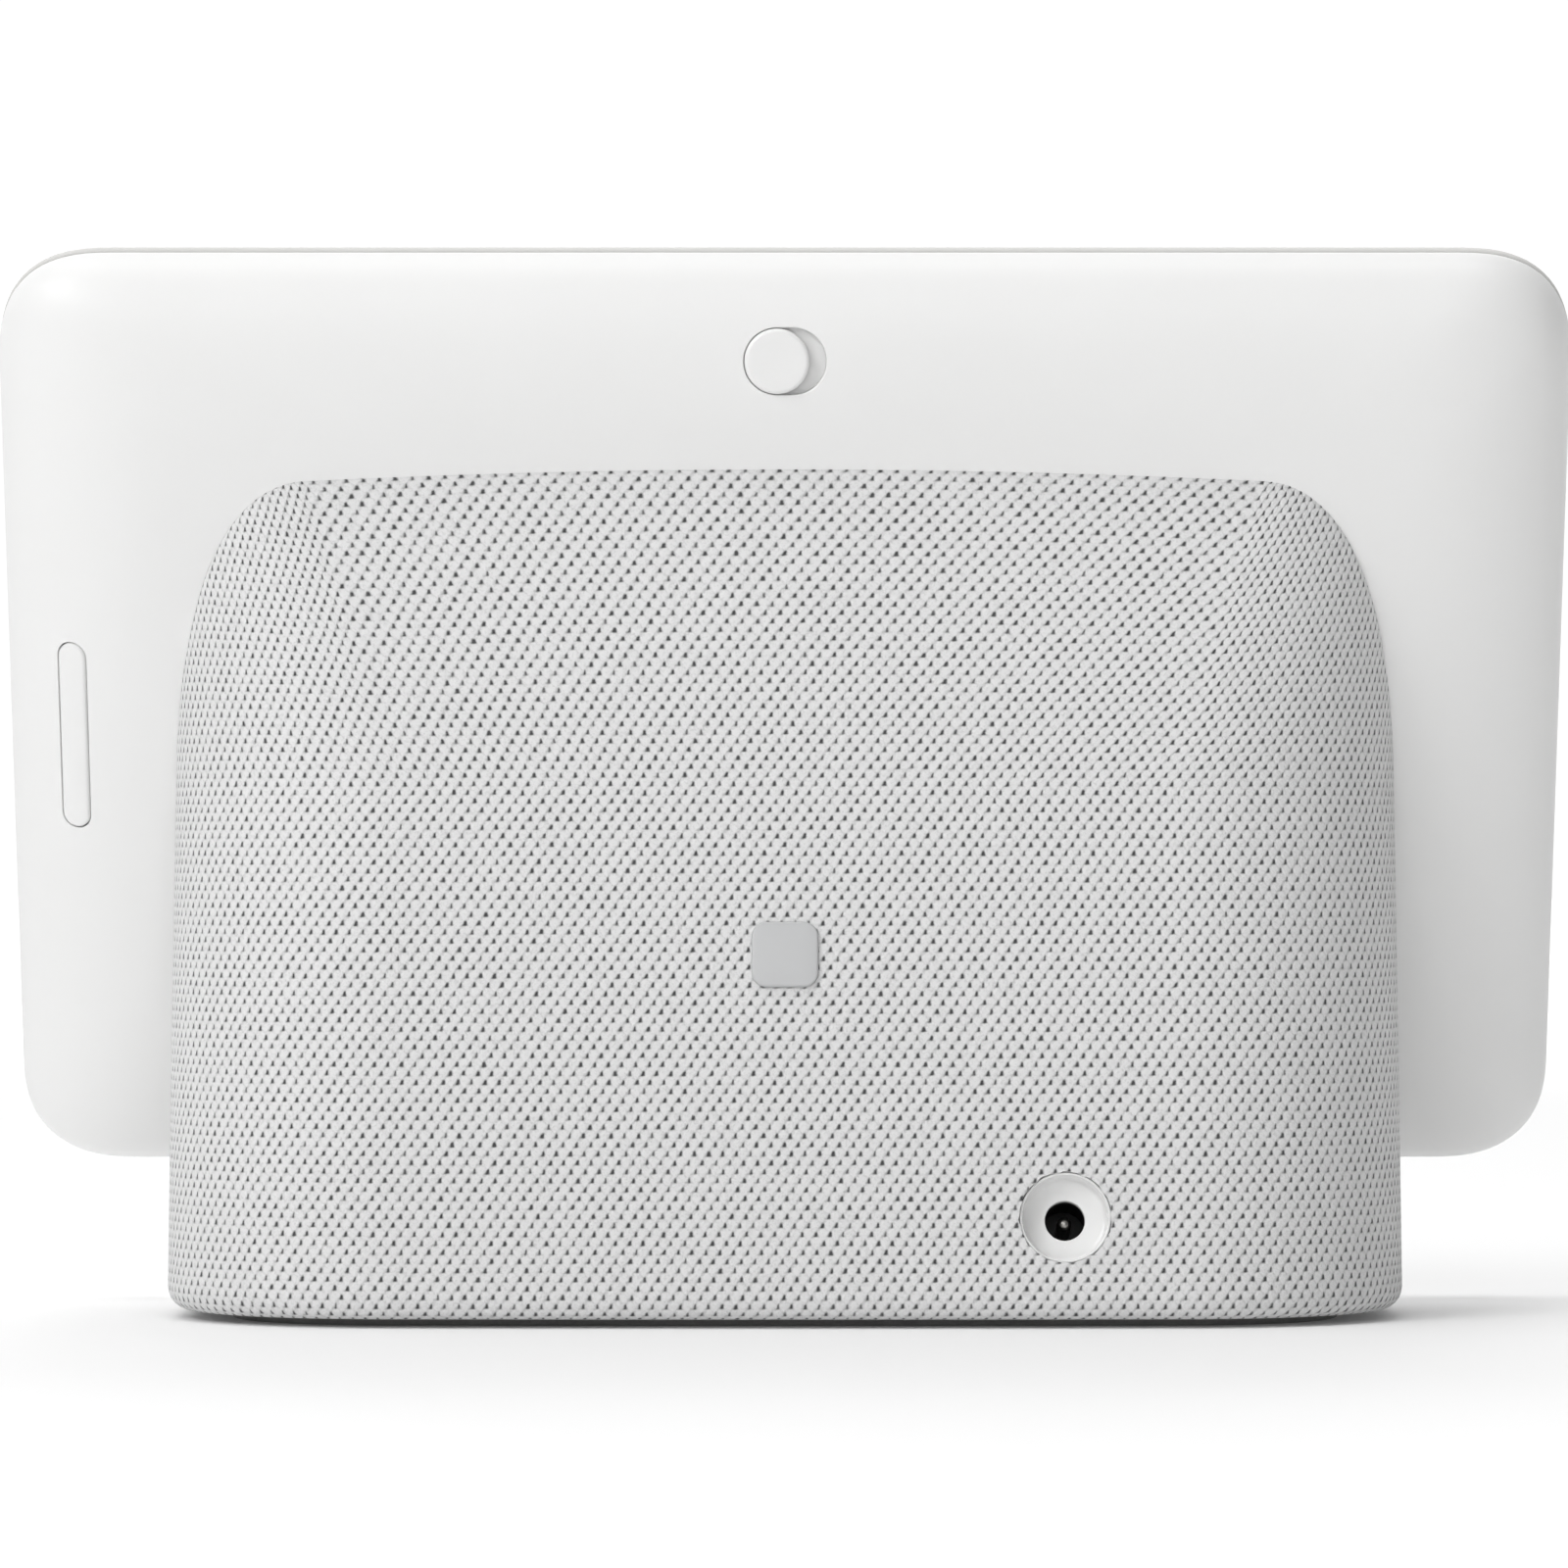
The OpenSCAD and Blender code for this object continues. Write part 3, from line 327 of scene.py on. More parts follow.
def cut(obj, *solids):
    """Cuts (points, faces) solids out of an object."""
    tools = []
    for points, faces in solids:
        tool = mesh_object("cutter", points, faces)
        outward(tool.data)
        step = obj.modifiers.new("cut", "BOOLEAN")
        step.operation, step.solver, step.object = "DIFFERENCE", "EXACT", tool
        tools.append(tool)
    freeze(obj)
    for tool in tools:
        bpy.data.objects.remove(tool)


def piece(name, shape, look, body="chassis", replaces=(), cuts=(), angle=35):
    """A finished piece: its mesh, its material, the body that it rides on and what it replaces."""
    obj = mesh_object(name, *shape)
    outward(obj.data)
    if cuts:
        cut(obj, *cuts)
    smooth(obj, angle)
    obj.data.materials.clear()
    obj.data.materials.append(look)
    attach(obj, body)
    if replaces:
        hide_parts(*replaces)
    return obj


# ---------------------------------------------------------------- materials


class Look:
    """A material being built: short calls for the nodes that this script uses."""

    def __init__(self, name, colour, rough, metal=0.0, coat=0.0, coat_rough=0.1, sheen=0.0, specular=0.5):
        self.material = bpy.data.materials.new(name)
        self.material.use_nodes = True
        self.tree = self.material.node_tree
        self.shader = self.tree.nodes["Principled BSDF"]
        self.set("Base Color", (*colour, 1))
        self.set("Roughness", rough)
        self.set("Metallic", metal)
        self.set("Coat Weight", coat)
        self.set("Coat Roughness", coat_rough)
        self.set("Sheen Weight", sheen)
        self.set("Specular IOR Level", specular)
        self.material.diffuse_color = (*colour, 1)

    def set(self, socket, value):
        self.shader.inputs[socket].default_value = value

    def link(self, source, socket):
        self.tree.links.new(source, self.shader.inputs[socket])

    def node(self, kind, **settings):
        node = self.tree.nodes.new(kind)
        for key, value in settings.items():
            setattr(node, key, value)
        return node

    def feed(self, node, socket, value):
        if isinstance(value, bpy.types.NodeSocket):
            self.tree.links.new(value, node.inputs[socket])
        else:
            node.inputs[socket].default_value = value

    def math(self, operation, a, b=0.0, c=0.0):
        """The result of a Math node; a, b and c are numbers or sockets."""
        node = self.node("ShaderNodeMath", operation=operation)
        for i, value in enumerate((a, b, c)):
            self.feed(node, i, value)
        return node.outputs[0]

    def soft(self, value, low, high):
        """0 below low, 1 above high, smooth between; low may be above high."""
        node = self.node("ShaderNodeMapRange", interpolation_type="SMOOTHSTEP")
        for socket, number in (("Value", value), ("From Min", low), ("From Max", high)):
            self.feed(node, socket, number)
        return node.outputs["Result"]

    def ramp(self, value, dark, light):
        """A colour between two, by a value from 0 to 1."""
        node = self.node("ShaderNodeMix", data_type="RGBA")
        self.feed(node, 0, value)
        self.feed(node, 6, (*dark, 1))
        self.feed(node, 7, (*light, 1))
        return node.outputs[2]

    def place(self):
        return self.node("ShaderNodeTexCoord").outputs["Object"]

    def stretched(self, scale):
        """The place in the object, scaled differently along each axis."""
        node = self.node("ShaderNodeMapping")
        self.feed(node, "Vector", self.place())
        node.inputs["Scale"].default_value = scale
        return node.outputs[0]

    def noise(self, size, detail=3.0, vector=None):
        """Noise whose spots are about size millimetres across."""
        node = self.node("ShaderNodeTexNoise")
        self.feed(node, "Vector", vector or self.place())
        node.inputs["Scale"].default_value = 1 / (size * MM)
        node.inputs["Detail"].default_value = detail
        return node.outputs["Fac"]

    def bump(self, height, depth, strength=1.0):
        """Relief whose full height is depth millimetres."""
        node = self.node("ShaderNodeBump")
        self.feed(node, "Height", height)
        node.inputs["Strength"].default_value = strength
        node.inputs["Distance"].default_value = depth * MM
        self.link(node.outputs[0], "Normal")

    def vary(self, noise, low, high, socket):
        """Lets a noise move a socket of the shader between two values."""
        node = self.node("ShaderNodeMapRange")
        self.feed(node, "Value", noise)
        node.inputs["To Min"].default_value = low
        node.inputs["To Max"].default_value = high
        self.link(node.outputs[0], socket)


def shade(colour, factor):
    return tuple(min(1.0, c * factor) for c in colour)


def moulded(name, colour, rough=0.45, grain=0.35, relief=0.004, contrast=0.03, coat=0.0):
    """Moulded plastic: a fine eroded texture, and slight unevenness of colour and gloss."""
    look = Look(name, colour, rough, coat=coat, specular=0.45)
    look.link(look.ramp(look.noise(14, 2), shade(colour, 1 - contrast), shade(colour, 1 + contrast)),
              "Base Color")
    fine = look.noise(grain, 4)
    look.vary(fine, rough - 0.06, rough + 0.08, "Roughness")
    look.bump(fine, relief)
    return look.material


def metal(name, colour, rough=0.3, brushed=(1, 1, 1), relief=0.003):
    """Sheet or turned metal: brushed along one way, with faint cloudiness."""
    look = Look(name, colour, rough, metal=1.0)
    streaks = look.noise(0.25, 5, look.stretched(brushed))
    look.link(look.ramp(look.noise(6, 3), shade(colour, 0.88), shade(colour, 1.06)), "Base Color")
    look.vary(streaks, rough - 0.1, rough + 0.12, "Roughness")
    look.bump(streaks, relief)
    return look.material


def rubber(name, colour, rough=0.75, grain=0.5, relief=0.012):
    """Rubber or foam: matt and finely pitted."""
    look = Look(name, colour, rough, specular=0.3)
    pits = look.noise(grain, 5)
    look.link(look.ramp(pits, shade(colour, 0.8), shade(colour, 1.12)), "Base Color")
    look.vary(look.noise(5, 2), rough - 0.08, rough + 0.08, "Roughness")
    look.bump(pits, relief)
    return look.material


def circuit_board(name, colour, track):
    """Solder mask over copper: a rectangular net of tracks that shows as a slightly lighter relief."""
    look = Look(name, colour, 0.35, coat=0.3, coat_rough=0.15)
    cells = look.node("ShaderNodeTexVoronoi", distance="MANHATTAN", feature="DISTANCE_TO_EDGE")
    look.feed(cells, "Vector", look.place())
    look.feed(cells, "Scale", 450)
    lines = look.soft(cells.outputs["Distance"], 0.1, 0.05)
    look.link(look.ramp(lines, colour, track), "Base Color")
    look.vary(look.noise(3), 0.28, 0.42, "Roughness")
    look.bump(lines, 0.03)
    return look.material


def pressed_fibre(name, colour):
    """Cone paper: long soft fibres pressed flat."""
    look = Look(name, colour, 0.85, sheen=0.2)
    fibres = look.noise(0.4, 6, look.stretched((1, 0.35, 1)))
    look.link(look.ramp(fibres, shade(colour, 0.7), shade(colour, 1.5)), "Base Color")
    look.bump(fibres, 0.05)
    return look.material


def woven_disc(name, colour):
    """Resin-dipped cloth: a square weave."""
    look = Look(name, colour, 0.7)
    threads = []
    for direction in "XZ":
        wave = look.node("ShaderNodeTexWave", wave_type="BANDS", bands_direction=direction)
        look.feed(wave, "Vector", look.place())
        look.feed(wave, "Scale", 700)
        threads.append(wave.outputs["Fac"])
    both = look.math("MULTIPLY", *threads)
    look.link(look.ramp(both, shade(colour, 0.6), shade(colour, 1.15)), "Base Color")
    look.bump(both, 0.05)
    return look.material


def knit(name):
    """The base's knit: light stitches in staggered rows, with a dark gap that widens downwards, a painted
    shadow below each gap and painted shade along the furrows between stitches.
    """
    light, dark = (0.76, 0.76, 0.76), (0.075, 0.076, 0.078)
    look = Look(name, light, 0.88, sheen=0.25, specular=0.25)
    look.set("Sheen Roughness", 0.5)
    split = look.node("ShaderNodeSeparateXYZ")
    look.feed(split, 0, look.node("ShaderNodeUVMap", uv_map="Weave").outputs[0])

    def centred(noise, amount):
        return look.math("MULTIPLY", look.math("SUBTRACT", noise, 0.5), amount)

    # Place within the cloth in stitches, a little unevenly drawn
    v = look.math("DIVIDE", split.outputs[1], STITCH_H * MM)
    v = look.math("ADD", v, centred(look.noise(2.2, 2), 0.3))
    u = look.math("DIVIDE", split.outputs[0], STITCH_W * MM)
    u = look.math("ADD", u, centred(look.noise(1.6, 2, look.stretched((1, 1, -1))), 0.26))
    u = look.math("MULTIPLY_ADD", v, 0.029, u)
    row = look.math("FLOOR", v)
    cell = look.math("MULTIPLY_ADD", row, 0.5, u)
    x = look.math("SUBTRACT", look.math("FRACT", cell), 0.5)
    y = look.math("SUBTRACT", look.math("FRACT", v), 0.5)
    x = look.math("MULTIPLY_ADD", y, -0.1, x)

    which = look.node("ShaderNodeCombineXYZ")
    look.feed(which, 0, look.math("FLOOR", cell))
    look.feed(which, 1, row)
    dice = look.node("ShaderNodeTexWhiteNoise", noise_dimensions="2D")
    look.feed(dice, "Vector", which.outputs[0])
    chance = dice.outputs["Value"]

    # The gap between stitches: its half width grows from its top to its foot
    wide = look.math("MULTIPLY_ADD", y, -0.1, 0.098)
    wide = look.math("MULTIPLY", wide, look.math("MULTIPLY_ADD", chance, 0.5, 0.7))
    side = look.math("DIVIDE", look.math("ABSOLUTE", x), wide)
    ends = look.math("MULTIPLY", look.soft(y, -0.44, -0.2), look.soft(y, 0.4, 0.05))
    gap = look.math("MULTIPLY", look.soft(side, 1.6, 0.2), ends)
    # The foot below each gap: a dip in the relief, and a painted shadow in the colour
    foot = look.soft(look.math("ABSOLUTE", look.math("ADD", x, 0.07)), 0.36, 0.05)
    foot = look.math("MULTIPLY", foot, look.soft(y, 0.0, -0.3))
    foot = look.math("MULTIPLY", foot, look.soft(y, -0.5, -0.32))

    # The furrows between stitches run from gap to gap on both slants; they are lowered in the relief and
    # darkened in the colour as painted shade
    def furrow(slant, offset, width):
        line = look.math("ADD", look.math("MULTIPLY_ADD", v, slant, u), offset)
        line = look.math("ABSOLUTE", look.math("SUBTRACT", look.math("FRACT", line), 0.5))
        return look.soft(line, width, 0.0)

    rising = furrow(-0.5, 0.25, 0.26)
    falling = furrow(0.5, 0.75, 0.2)
    fibres = look.noise(0.2, 3)
    fuzz = look.noise(0.55, 2)

    # The colour's darkness: the dark gap, the painted shadow of the foot, the painted shade of the furrows,
    # and uneven fibres
    gap_and_painted_shade = look.math("MULTIPLY", gap, look.math("MULTIPLY_ADD", chance, 0.3, 0.62))
    for part, amount in ((foot, 0.2), (rising, 0.13), (falling, 0.07)):
        gap_and_painted_shade = look.math("MULTIPLY_ADD", part, amount, gap_and_painted_shade)
    gap_and_painted_shade = look.math("ADD", gap_and_painted_shade, centred(fibres, 0.5))
    gap_and_painted_shade = look.math("ADD", gap_and_painted_shade, centred(fuzz, 0.35))
    gap_and_painted_shade = look.math("MINIMUM", look.math("MAXIMUM", gap_and_painted_shade, 0.0), 1.0)
    look.link(look.ramp(gap_and_painted_shade, light, dark), "Base Color")

    height = look.math("MULTIPLY_ADD", gap, -1.0, 1.0)
    for part, amount in ((foot, -0.3), (rising, -0.4), (falling, -0.25), (fibres, 0.4), (fuzz, 0.35)):
        height = look.math("MULTIPLY_ADD", part, amount, height)
    look.bump(height, 0.2, 0.8)
    return look.material


def glass_face(name):
    """The unlit screen behind its glass: near black, with a faint warm grey behind the gloss."""
    look = Look(name, (0.010, 0.011, 0.013), 0.06, coat=1.0, coat_rough=0.02)
    look.link(look.ramp(look.noise(60, 2), (0.008, 0.009, 0.011), (0.016, 0.017, 0.02)), "Base Color")
    look.vary(look.noise(18, 3), 0.04, 0.09, "Roughness")
    return look.material


def printed_border(name):
    """The light border printed behind the glass."""
    colour = (0.70, 0.70, 0.685)
    look = Look(name, colour, 0.28, coat=1.0, coat_rough=0.02)
    look.link(look.ramp(look.noise(1.2, 3), shade(colour, 0.985), shade(colour, 1.015)), "Base Color")
    look.vary(look.noise(30, 1), 0.27, 0.29, "Roughness")
    return look.material


LOOKS = {
    "shell_plastic": moulded("shell_plastic", (0.835, 0.835, 0.83), 0.42, 0.3, 0.003, 0.008, 0.05),
    "frame_plastic": moulded("frame_plastic", (0.56, 0.555, 0.54), 0.5, 0.3, 0.004, 0.02),
    "cup_plastic": moulded("cup_plastic", (0.82, 0.82, 0.815), 0.24, 1.2, 0.002, 0.01, 0.3),
    "tray_plastic": moulded("tray_plastic", (0.72, 0.72, 0.715), 0.4, 0.3, 0.004, 0.02),
    "badge_plastic": moulded("badge_plastic", (0.52, 0.525, 0.53), 0.3, 0.6, 0.003, 0.03, 0.2),
    "indicator": moulded("indicator", (0.80, 0.22, 0.03), 0.4),
    "housing_plastic": moulded("housing_plastic", (0.035, 0.035, 0.037), 0.55, 0.5, 0.01, 0.1),
    "black_moulding": moulded("black_moulding", (0.012, 0.012, 0.013), 0.42, 0.3, 0.006, 0.2),
    "plunger_plastic": moulded("plunger_plastic", (0.62, 0.58, 0.47), 0.4),
    "backlight": moulded("backlight", (0.62, 0.62, 0.60), 0.35, 2.0, 0.004, 0.04),
    "lcd": moulded("lcd", (0.012, 0.013, 0.016), 0.15, 3.0, 0.001, 0.1, 0.5),
    "flex": moulded("flex", (0.28, 0.12, 0.02), 0.3, 1.0, 0.006, 0.15, 0.4),
    "spreader": metal("spreader", (0.72, 0.73, 0.74), 0.35, (0.08, 1, 1)),
    "stamped_steel": metal("stamped_steel", (0.50, 0.50, 0.50), 0.38, (0.3, 1, 1)),
    "plated_steel": metal("plated_steel", (0.66, 0.66, 0.65), 0.22),
    # Painted shade: the contact pin's metal is a darker copy of the plated steel, for its place deep in the
    # socket
    "pin_metal_painted_shade": metal("pin_metal_painted_shade", (0.38, 0.37, 0.35), 0.3),
    "copper": metal("copper", (0.78, 0.40, 0.16), 0.28, (1, 1, 0.1)),
    "ferrite": rubber("ferrite", (0.030, 0.030, 0.032), 0.6, 0.8, 0.02),
    "black_foam": rubber("black_foam", (0.02, 0.02, 0.02), 0.9, 0.4, 0.05),
    "thermal_pad": rubber("thermal_pad", (0.16, 0.24, 0.42), 0.7, 0.6, 0.03),
    "foot_rubber": rubber("foot_rubber", (0.34, 0.34, 0.335), 0.7, 0.5, 0.02),
    "surround_rubber": rubber("surround_rubber", (0.010, 0.010, 0.010), 0.6, 1.5, 0.01),
    "cable_jacket": rubber("cable_jacket", (0.012, 0.012, 0.012), 0.5, 1.5, 0.01),
    "speaker_wire": rubber("speaker_wire", (0.28, 0.02, 0.015), 0.45, 1.5, 0.01),
    "circuit_board": circuit_board("circuit_board", (0.010, 0.075, 0.035), (0.03, 0.16, 0.07)),
    "cone_paper": pressed_fibre("cone_paper", (0.020, 0.020, 0.022)),
    "spider_cloth": woven_disc("spider_cloth", (0.45, 0.27, 0.07)),
    "knit_fabric": knit("knit_fabric"),
    "front_glass": glass_face("front_glass"),
    "glass_border": printed_border("glass_border"),
}


def dress_cad():
    """Every CAD node takes the material of its slot."""
    for row in frame["record"]["subparts"]:
        obj = frame["nodes"][row["node"]]
        obj.data.materials.clear()
        obj.data.materials.append(LOOKS[row["material_slot"]])
        for polygon in obj.data.polygons:
            polygon.material_index = 0


# ---------------------------------------------------------------- rear shell, frame and glass


def shell_rings(grow, start):
    """Rings of the shell's form, from near its front edge to the middle of its flat back."""
    rings = []
    for turn in np.linspace(start, 90, 34):
        inset = ROUND_W * (1 - math.cos(turn * DEG)) - grow
        depth = RIM_T + (ROUND_D + grow) * math.sin(turn * DEG)
        r = max(CORNER_R - 0.2 * inset + 0.8 * grow, 2)
        rings.append(head_ring(display_outline(inset, r), depth))
    last, middle = rings[-1], rings[-1].mean(0)
    return rings + [middle + (last - middle) * share for share in (0.93, 0.8, 0.6, 0.35, 0.1)]


def shell_shape():
    """The shell as a closed solid: outside, front edge with its small rounding, inside."""
    outside = shell_rings(0, 12)
    inside = shell_rings(-SHELL_WALL, 6)
    edge = ((1.6, 0.06), (0.35, 0.06), (0.16, 0.1), (0.05, 0.25), (0.03, 0.9))
    lip = [head_ring(display_outline(inset, CORNER_R - inset), RIM_T + rise) for inset, rise in edge]
    points, faces = loft(inside[::-1] + lip + outside)
    return placed(points, HEAD), faces


def bosses():
    """The shell's inner screw bosses."""
    low, high, r = 8.05, 10.9, 2.2
    return [rod(*placed([(x, low, z), (x, high, z)], HEAD), r) for x in (-41, 41) for z in (54, 88)]


def slot_lip(outline, where, skin, radius, deep=1.9):
    """A rounded edge round an opening, laid on the shell's surface: outline takes an inset."""
    normal = Vector(where[:3, 2])

    def on_skin(points):
        tops = []
        for p in placed(flat_ring(points, 3), where):
            hit = skin.ray_cast(Vector(p) * MM, -normal, 8 * MM)[0]
            tops.append(np.array(hit) / MM)
        return np.array(tops)

    rings = []
    for turn in np.linspace(0, 90, 7) * DEG:
        away = radius * (1 - math.sin(turn))
        sink = radius * (1 - math.cos(turn))
        rings.append(on_skin(outline(-away)) - sink * where[:3, 2])
    rings.append(on_skin(outline(0)) - deep * where[:3, 2])
    rings.append(on_skin(outline(-radius)) - deep * where[:3, 2])
    return loft(rings, loop=True)


def upright(outline):
    """An outline turned by a quarter, its length along Y."""
    return outline[:, ::-1] * (-1, 1)


def rocker_hole(inset):
    """The rocker's opening."""
    return upright(obround(ROCKER_L + 2 * ROCKER_GAP, ROCKER_W + 2 * ROCKER_GAP, inset))


def knob_hole(inset):
    """The knob's opening."""
    return obround(KNOB_D + KNOB_TRAVEL + 2 * KNOB_GAP, KNOB_D + 2 * KNOB_GAP, inset)


def cutter(outline, where, lip):
    """A solid that cuts an opening with room for its rounded edge."""
    points, faces = loft([flat_ring(outline(-lip), height) for height in (-2.6, 4)])
    return placed(points, where), faces


def build_shell():
    look = LOOKS["shell_plastic"]
    shape = shell_shape()
    skin = BVHTree.FromPolygons([Vector(p) * MM for p in shape[0]], shape[1])
    rocker_at, knob_at = rocker_frame(), knob_frame()
    rocker_lip, knob_lip = 0.08, 0.2
    openings = (cutter(rocker_hole, rocker_at, rocker_lip), cutter(knob_hole, knob_at, knob_lip))
    piece("shell_skin", shape, look, replaces=("rear_shell",), cuts=openings, angle=30)
    piece("shell_bosses", joined(*bosses()), look)
    piece("rocker_opening", slot_lip(rocker_hole, rocker_at, skin, rocker_lip), look)
    piece("knob_opening", slot_lip(knob_hole, knob_at, skin, knob_lip), look)


def build_front():
    """The front frame with its ledge, the glass with its printed border, and the sensor's window."""
    edge, ledge_w, ledge = 0.3, 7.0, 0.95
    profile = [(ledge_w, RIM_T), (0.12, RIM_T), (0.03, RIM_T - 0.04), (0, RIM_T - 0.12), (0, 0.9), (0, edge)]
    profile += [(edge - edge * math.cos(a), edge - edge * math.sin(a)) for a in np.linspace(0.3, 1.57, 6)]
    profile += [(0.7, 0), (0.78, 0.04), (0.8, 0.12), (0.8, ledge), (ledge_w, ledge)]
    rings = [head_ring(display_outline(inset, CORNER_R - inset), depth) for inset, depth in profile]
    points, faces = loft(rings, loop=True)
    piece("front_bezel", (placed(points, HEAD), faces), LOOKS["frame_plastic"],
          replaces=("front_frame",))

    inset = 0.9
    rings = [head_ring(display_outline(i, CORNER_R - i), depth) for i, depth in
             ((inset, 0.8), (inset, 0.2), (inset + 0.06, 0.06), (inset + 0.2, 0))]
    x, z = SCREEN_W / 2, SCREEN_H / 2
    window = display_outline(0, 2.0)
    window = window * (x / window[:, 0].max(), z / window[:, 1].max())
    rings += [head_ring(window, 0), head_ring(window * 0.5, 0)]
    points, faces = loft(rings)
    holes = [rod(*placed([(mic, -1, STRIP_Z), (mic, 2, STRIP_Z)], HEAD), MIC_R) for mic in (-MIC_X, MIC_X)]
    glass = piece("front_glass", (placed(points, HEAD), faces), LOOKS["glass_border"],
                  replaces=("cover_glass",), cuts=holes)
    glass.data.materials.append(LOOKS["front_glass"])
    centre = placed([(0, 0, MID_Z)], HEAD)[0]
    for polygon in glass.data.polygons:
        middle = np.array(polygon.center) / MM - centre
        on_face = abs(middle @ BACK) < 0.02
        inside = abs(middle[0]) < x and abs(middle @ UP) < z
        if on_face and inside:
            polygon.material_index = 1

    where = axes(placed([(0, 0.004, STRIP_Z)], HEAD)[0], ACROSS, -BACK)
    shape = stack(lambda i: circle(1.1 - i, 32), [(0, -0.02), (0, 0.0), (0.05, 0.012)], where)
    piece("light_window", shape, LOOKS["front_glass"])


# ---------------------------------------------------------------- controls


def rocker_outline(inset):
    return upright(obround(ROCKER_L, ROCKER_W, inset))


def build_rocker():
    """The rocker's crowned cap, with the stem, pivot and ribs under it."""
    where = rocker_frame()
    top, skirt = 0.15, -1.9
    under = skirt + 0.05
    profile = [(0.1, skirt), (0, skirt + 0.1)] + fillet(0.42, top)
    profile += [(0.7, top + 0.035), (1.1, top + 0.06), (1.45, top + 0.07)]
    stem = box((-ROCKER_W / 2 + 0.3, -2.5, -3.8), (ROCKER_W / 2 - 0.3, 2.5, under), where)
    pivot = rod(*placed([(-3.0, 0, -3.1), (3.0, 0, -3.1)], where), 0.5)
    ribs = [box((-1, y - 0.7, -3), (1, y + 0.7, under), where) for y in (-8.5, 8.5)]
    shape = joined(stack(rocker_outline, profile, where), stem, pivot, *ribs)
    piece("rocker_cap", shape, LOOKS["shell_plastic"], "rocker", ("volume_rocker",))


def build_knob():
    """The knob's slightly dished cap at the rest end of its slot, with its stem."""
    where = knob_frame()
    where[:3, 3] += ACROSS * KNOB_TRAVEL / 2
    top, skirt = 0.5, -1.0
    profile = [(0.12, skirt), (0, skirt + 0.1)] + fillet(0.5, top, 10)
    profile += [(0.9, top - 0.012), (1.6, top - 0.035), (2.4, top - 0.05), (3.3, top - 0.055)]
    cap = stack(lambda inset: circle(KNOB_D / 2 - inset, 96), profile, where)
    stem = box((-1, -0.8, -4.15), (1, 0.8, skirt + 0.05), where)
    piece("knob_cap", joined(cap, stem), LOOKS["shell_plastic"], "mute_slider",
          ("mute_knob",))


# ---------------------------------------------------------------- base


def base_loop(z, inset):
    """Points round the base at a height, from the middle of its front, anticlockwise from above.

    Each point keeps its share of the loop at every height, so that the points of all heights
    stand over each other."""
    x = BASE_W / 2 - inset
    front, back = BASE_FRONT + inset, back_y(z) - inset
    rf, bow = BASE_FRONT_R - inset, BASE_BOW_R - inset
    # High up, the base is too shallow for the full rear corner: a short straight side stays
    least_side = 0.1
    room = back - bow_drop(x - BASE_BACK_R) - (front + rf) - least_side
    rb = min(BASE_BACK_R - inset, room)
    turn = math.asin((x - rb) / (bow - rb))
    corner_y = back - bow + (bow - rb) * math.cos(turn)
    # Every stretch has the same count of points at every height
    half = np.linspace((0, front), (x - rf, front), 41)[:-1]
    near = arc(x - rf, front + rf, rf, -90, 0, 24)
    side = np.linspace((x, front + rf), (x, corner_y), 15)[1:-1]
    corner = arc(x - rb, corner_y, rb, 0, 90 - turn / DEG, 54)
    rear = arc(0, back - bow, bow, 90 - turn / DEG, 90, 55)[1:]
    right = np.concatenate([half, near, side, corner, rear])
    left = right[1:-1][::-1] * (-1, 1)
    return np.concatenate([right, left])


def clear_of_head(points, gap=0.1):
    """How far each point is behind the display's back, less a gap; large below the display."""
    local = (points - HEAD[:3, 3]) @ HEAD[:3, :3]
    depth = np.array([band_depth(max(z, 0.0)) for z in local[:, 2]]) + gap
    behind = local[:, 1] - depth
    behind[local[:, 2] < 0] = 50
    return behind


def base_points(z, inset):
    """The base's loop at a height; both may differ from point to point."""
    z, inset = np.broadcast_arrays(z, inset)
    if z.ndim == 0:
        loop = base_loop(float(z), float(inset))
        return np.column_stack([loop, np.full(len(loop), z)])
    rows = [np.append(base_loop(z[i], inset[i])[i], z[i]) for i in range(len(z))]
    return np.array(rows)


def tops():
    """The height at which each of the base's upright lines meets the display."""
    heights = np.arange(4, 99, 0.25)
    count = len(base_loop(0, 0))
    top = np.full(count, heights[-1])
    done = np.zeros(count, bool)
    before = clear_of_head(base_points(heights[0], 0))
    for low, high in zip(heights[:-1], heights[1:]):
        now = clear_of_head(base_points(high, 0))
        met = (now <= 0) & ~done
        share = before[met] / np.maximum(before[met] - now[met], 1e-9)
        top[met] = low + np.clip(share, 0, 1) * (high - low)
        done |= met
        before = now
    return top


def rolled(points, out_of_base, reach=0.9, most=0.75):
    """Rolls the cloth's edge in where it nears the display, and rests it against the display's back.

    The edge rolls most where the cloth faces the way the display's back does, and not at the sides."""
    facing = np.clip(out_of_base @ BACK, 0, 1)
    near = np.clip(1 - clear_of_head(points, CLOTH_GAP) / reach, 0, 1)
    inset = most * facing * (1 - np.sqrt(1 - near * near))
    moved = points - out_of_base * inset[:, None]
    inside = np.clip(-clear_of_head(moved, CLOTH_GAP), 0, None)
    return moved + inside[:, None] * BACK


def touching_head(points, most=1.5):
    """Moves the cloth's top edge square to the display's back until it rests there."""
    clear = np.clip(clear_of_head(points, CLOTH_GAP), -most, most)
    return points - clear[:, None] * BACK


def ways_out(heights):
    """The level direction out of the base at each of its points, each at its own height."""
    step = 0.2
    out = [base_loop(z, 0)[i] - base_loop(z, step)[i] for i, z in enumerate(heights)]
    level = np.column_stack([out, np.zeros(len(out))])
    return level / np.linalg.norm(level, axis=1)[:, None]


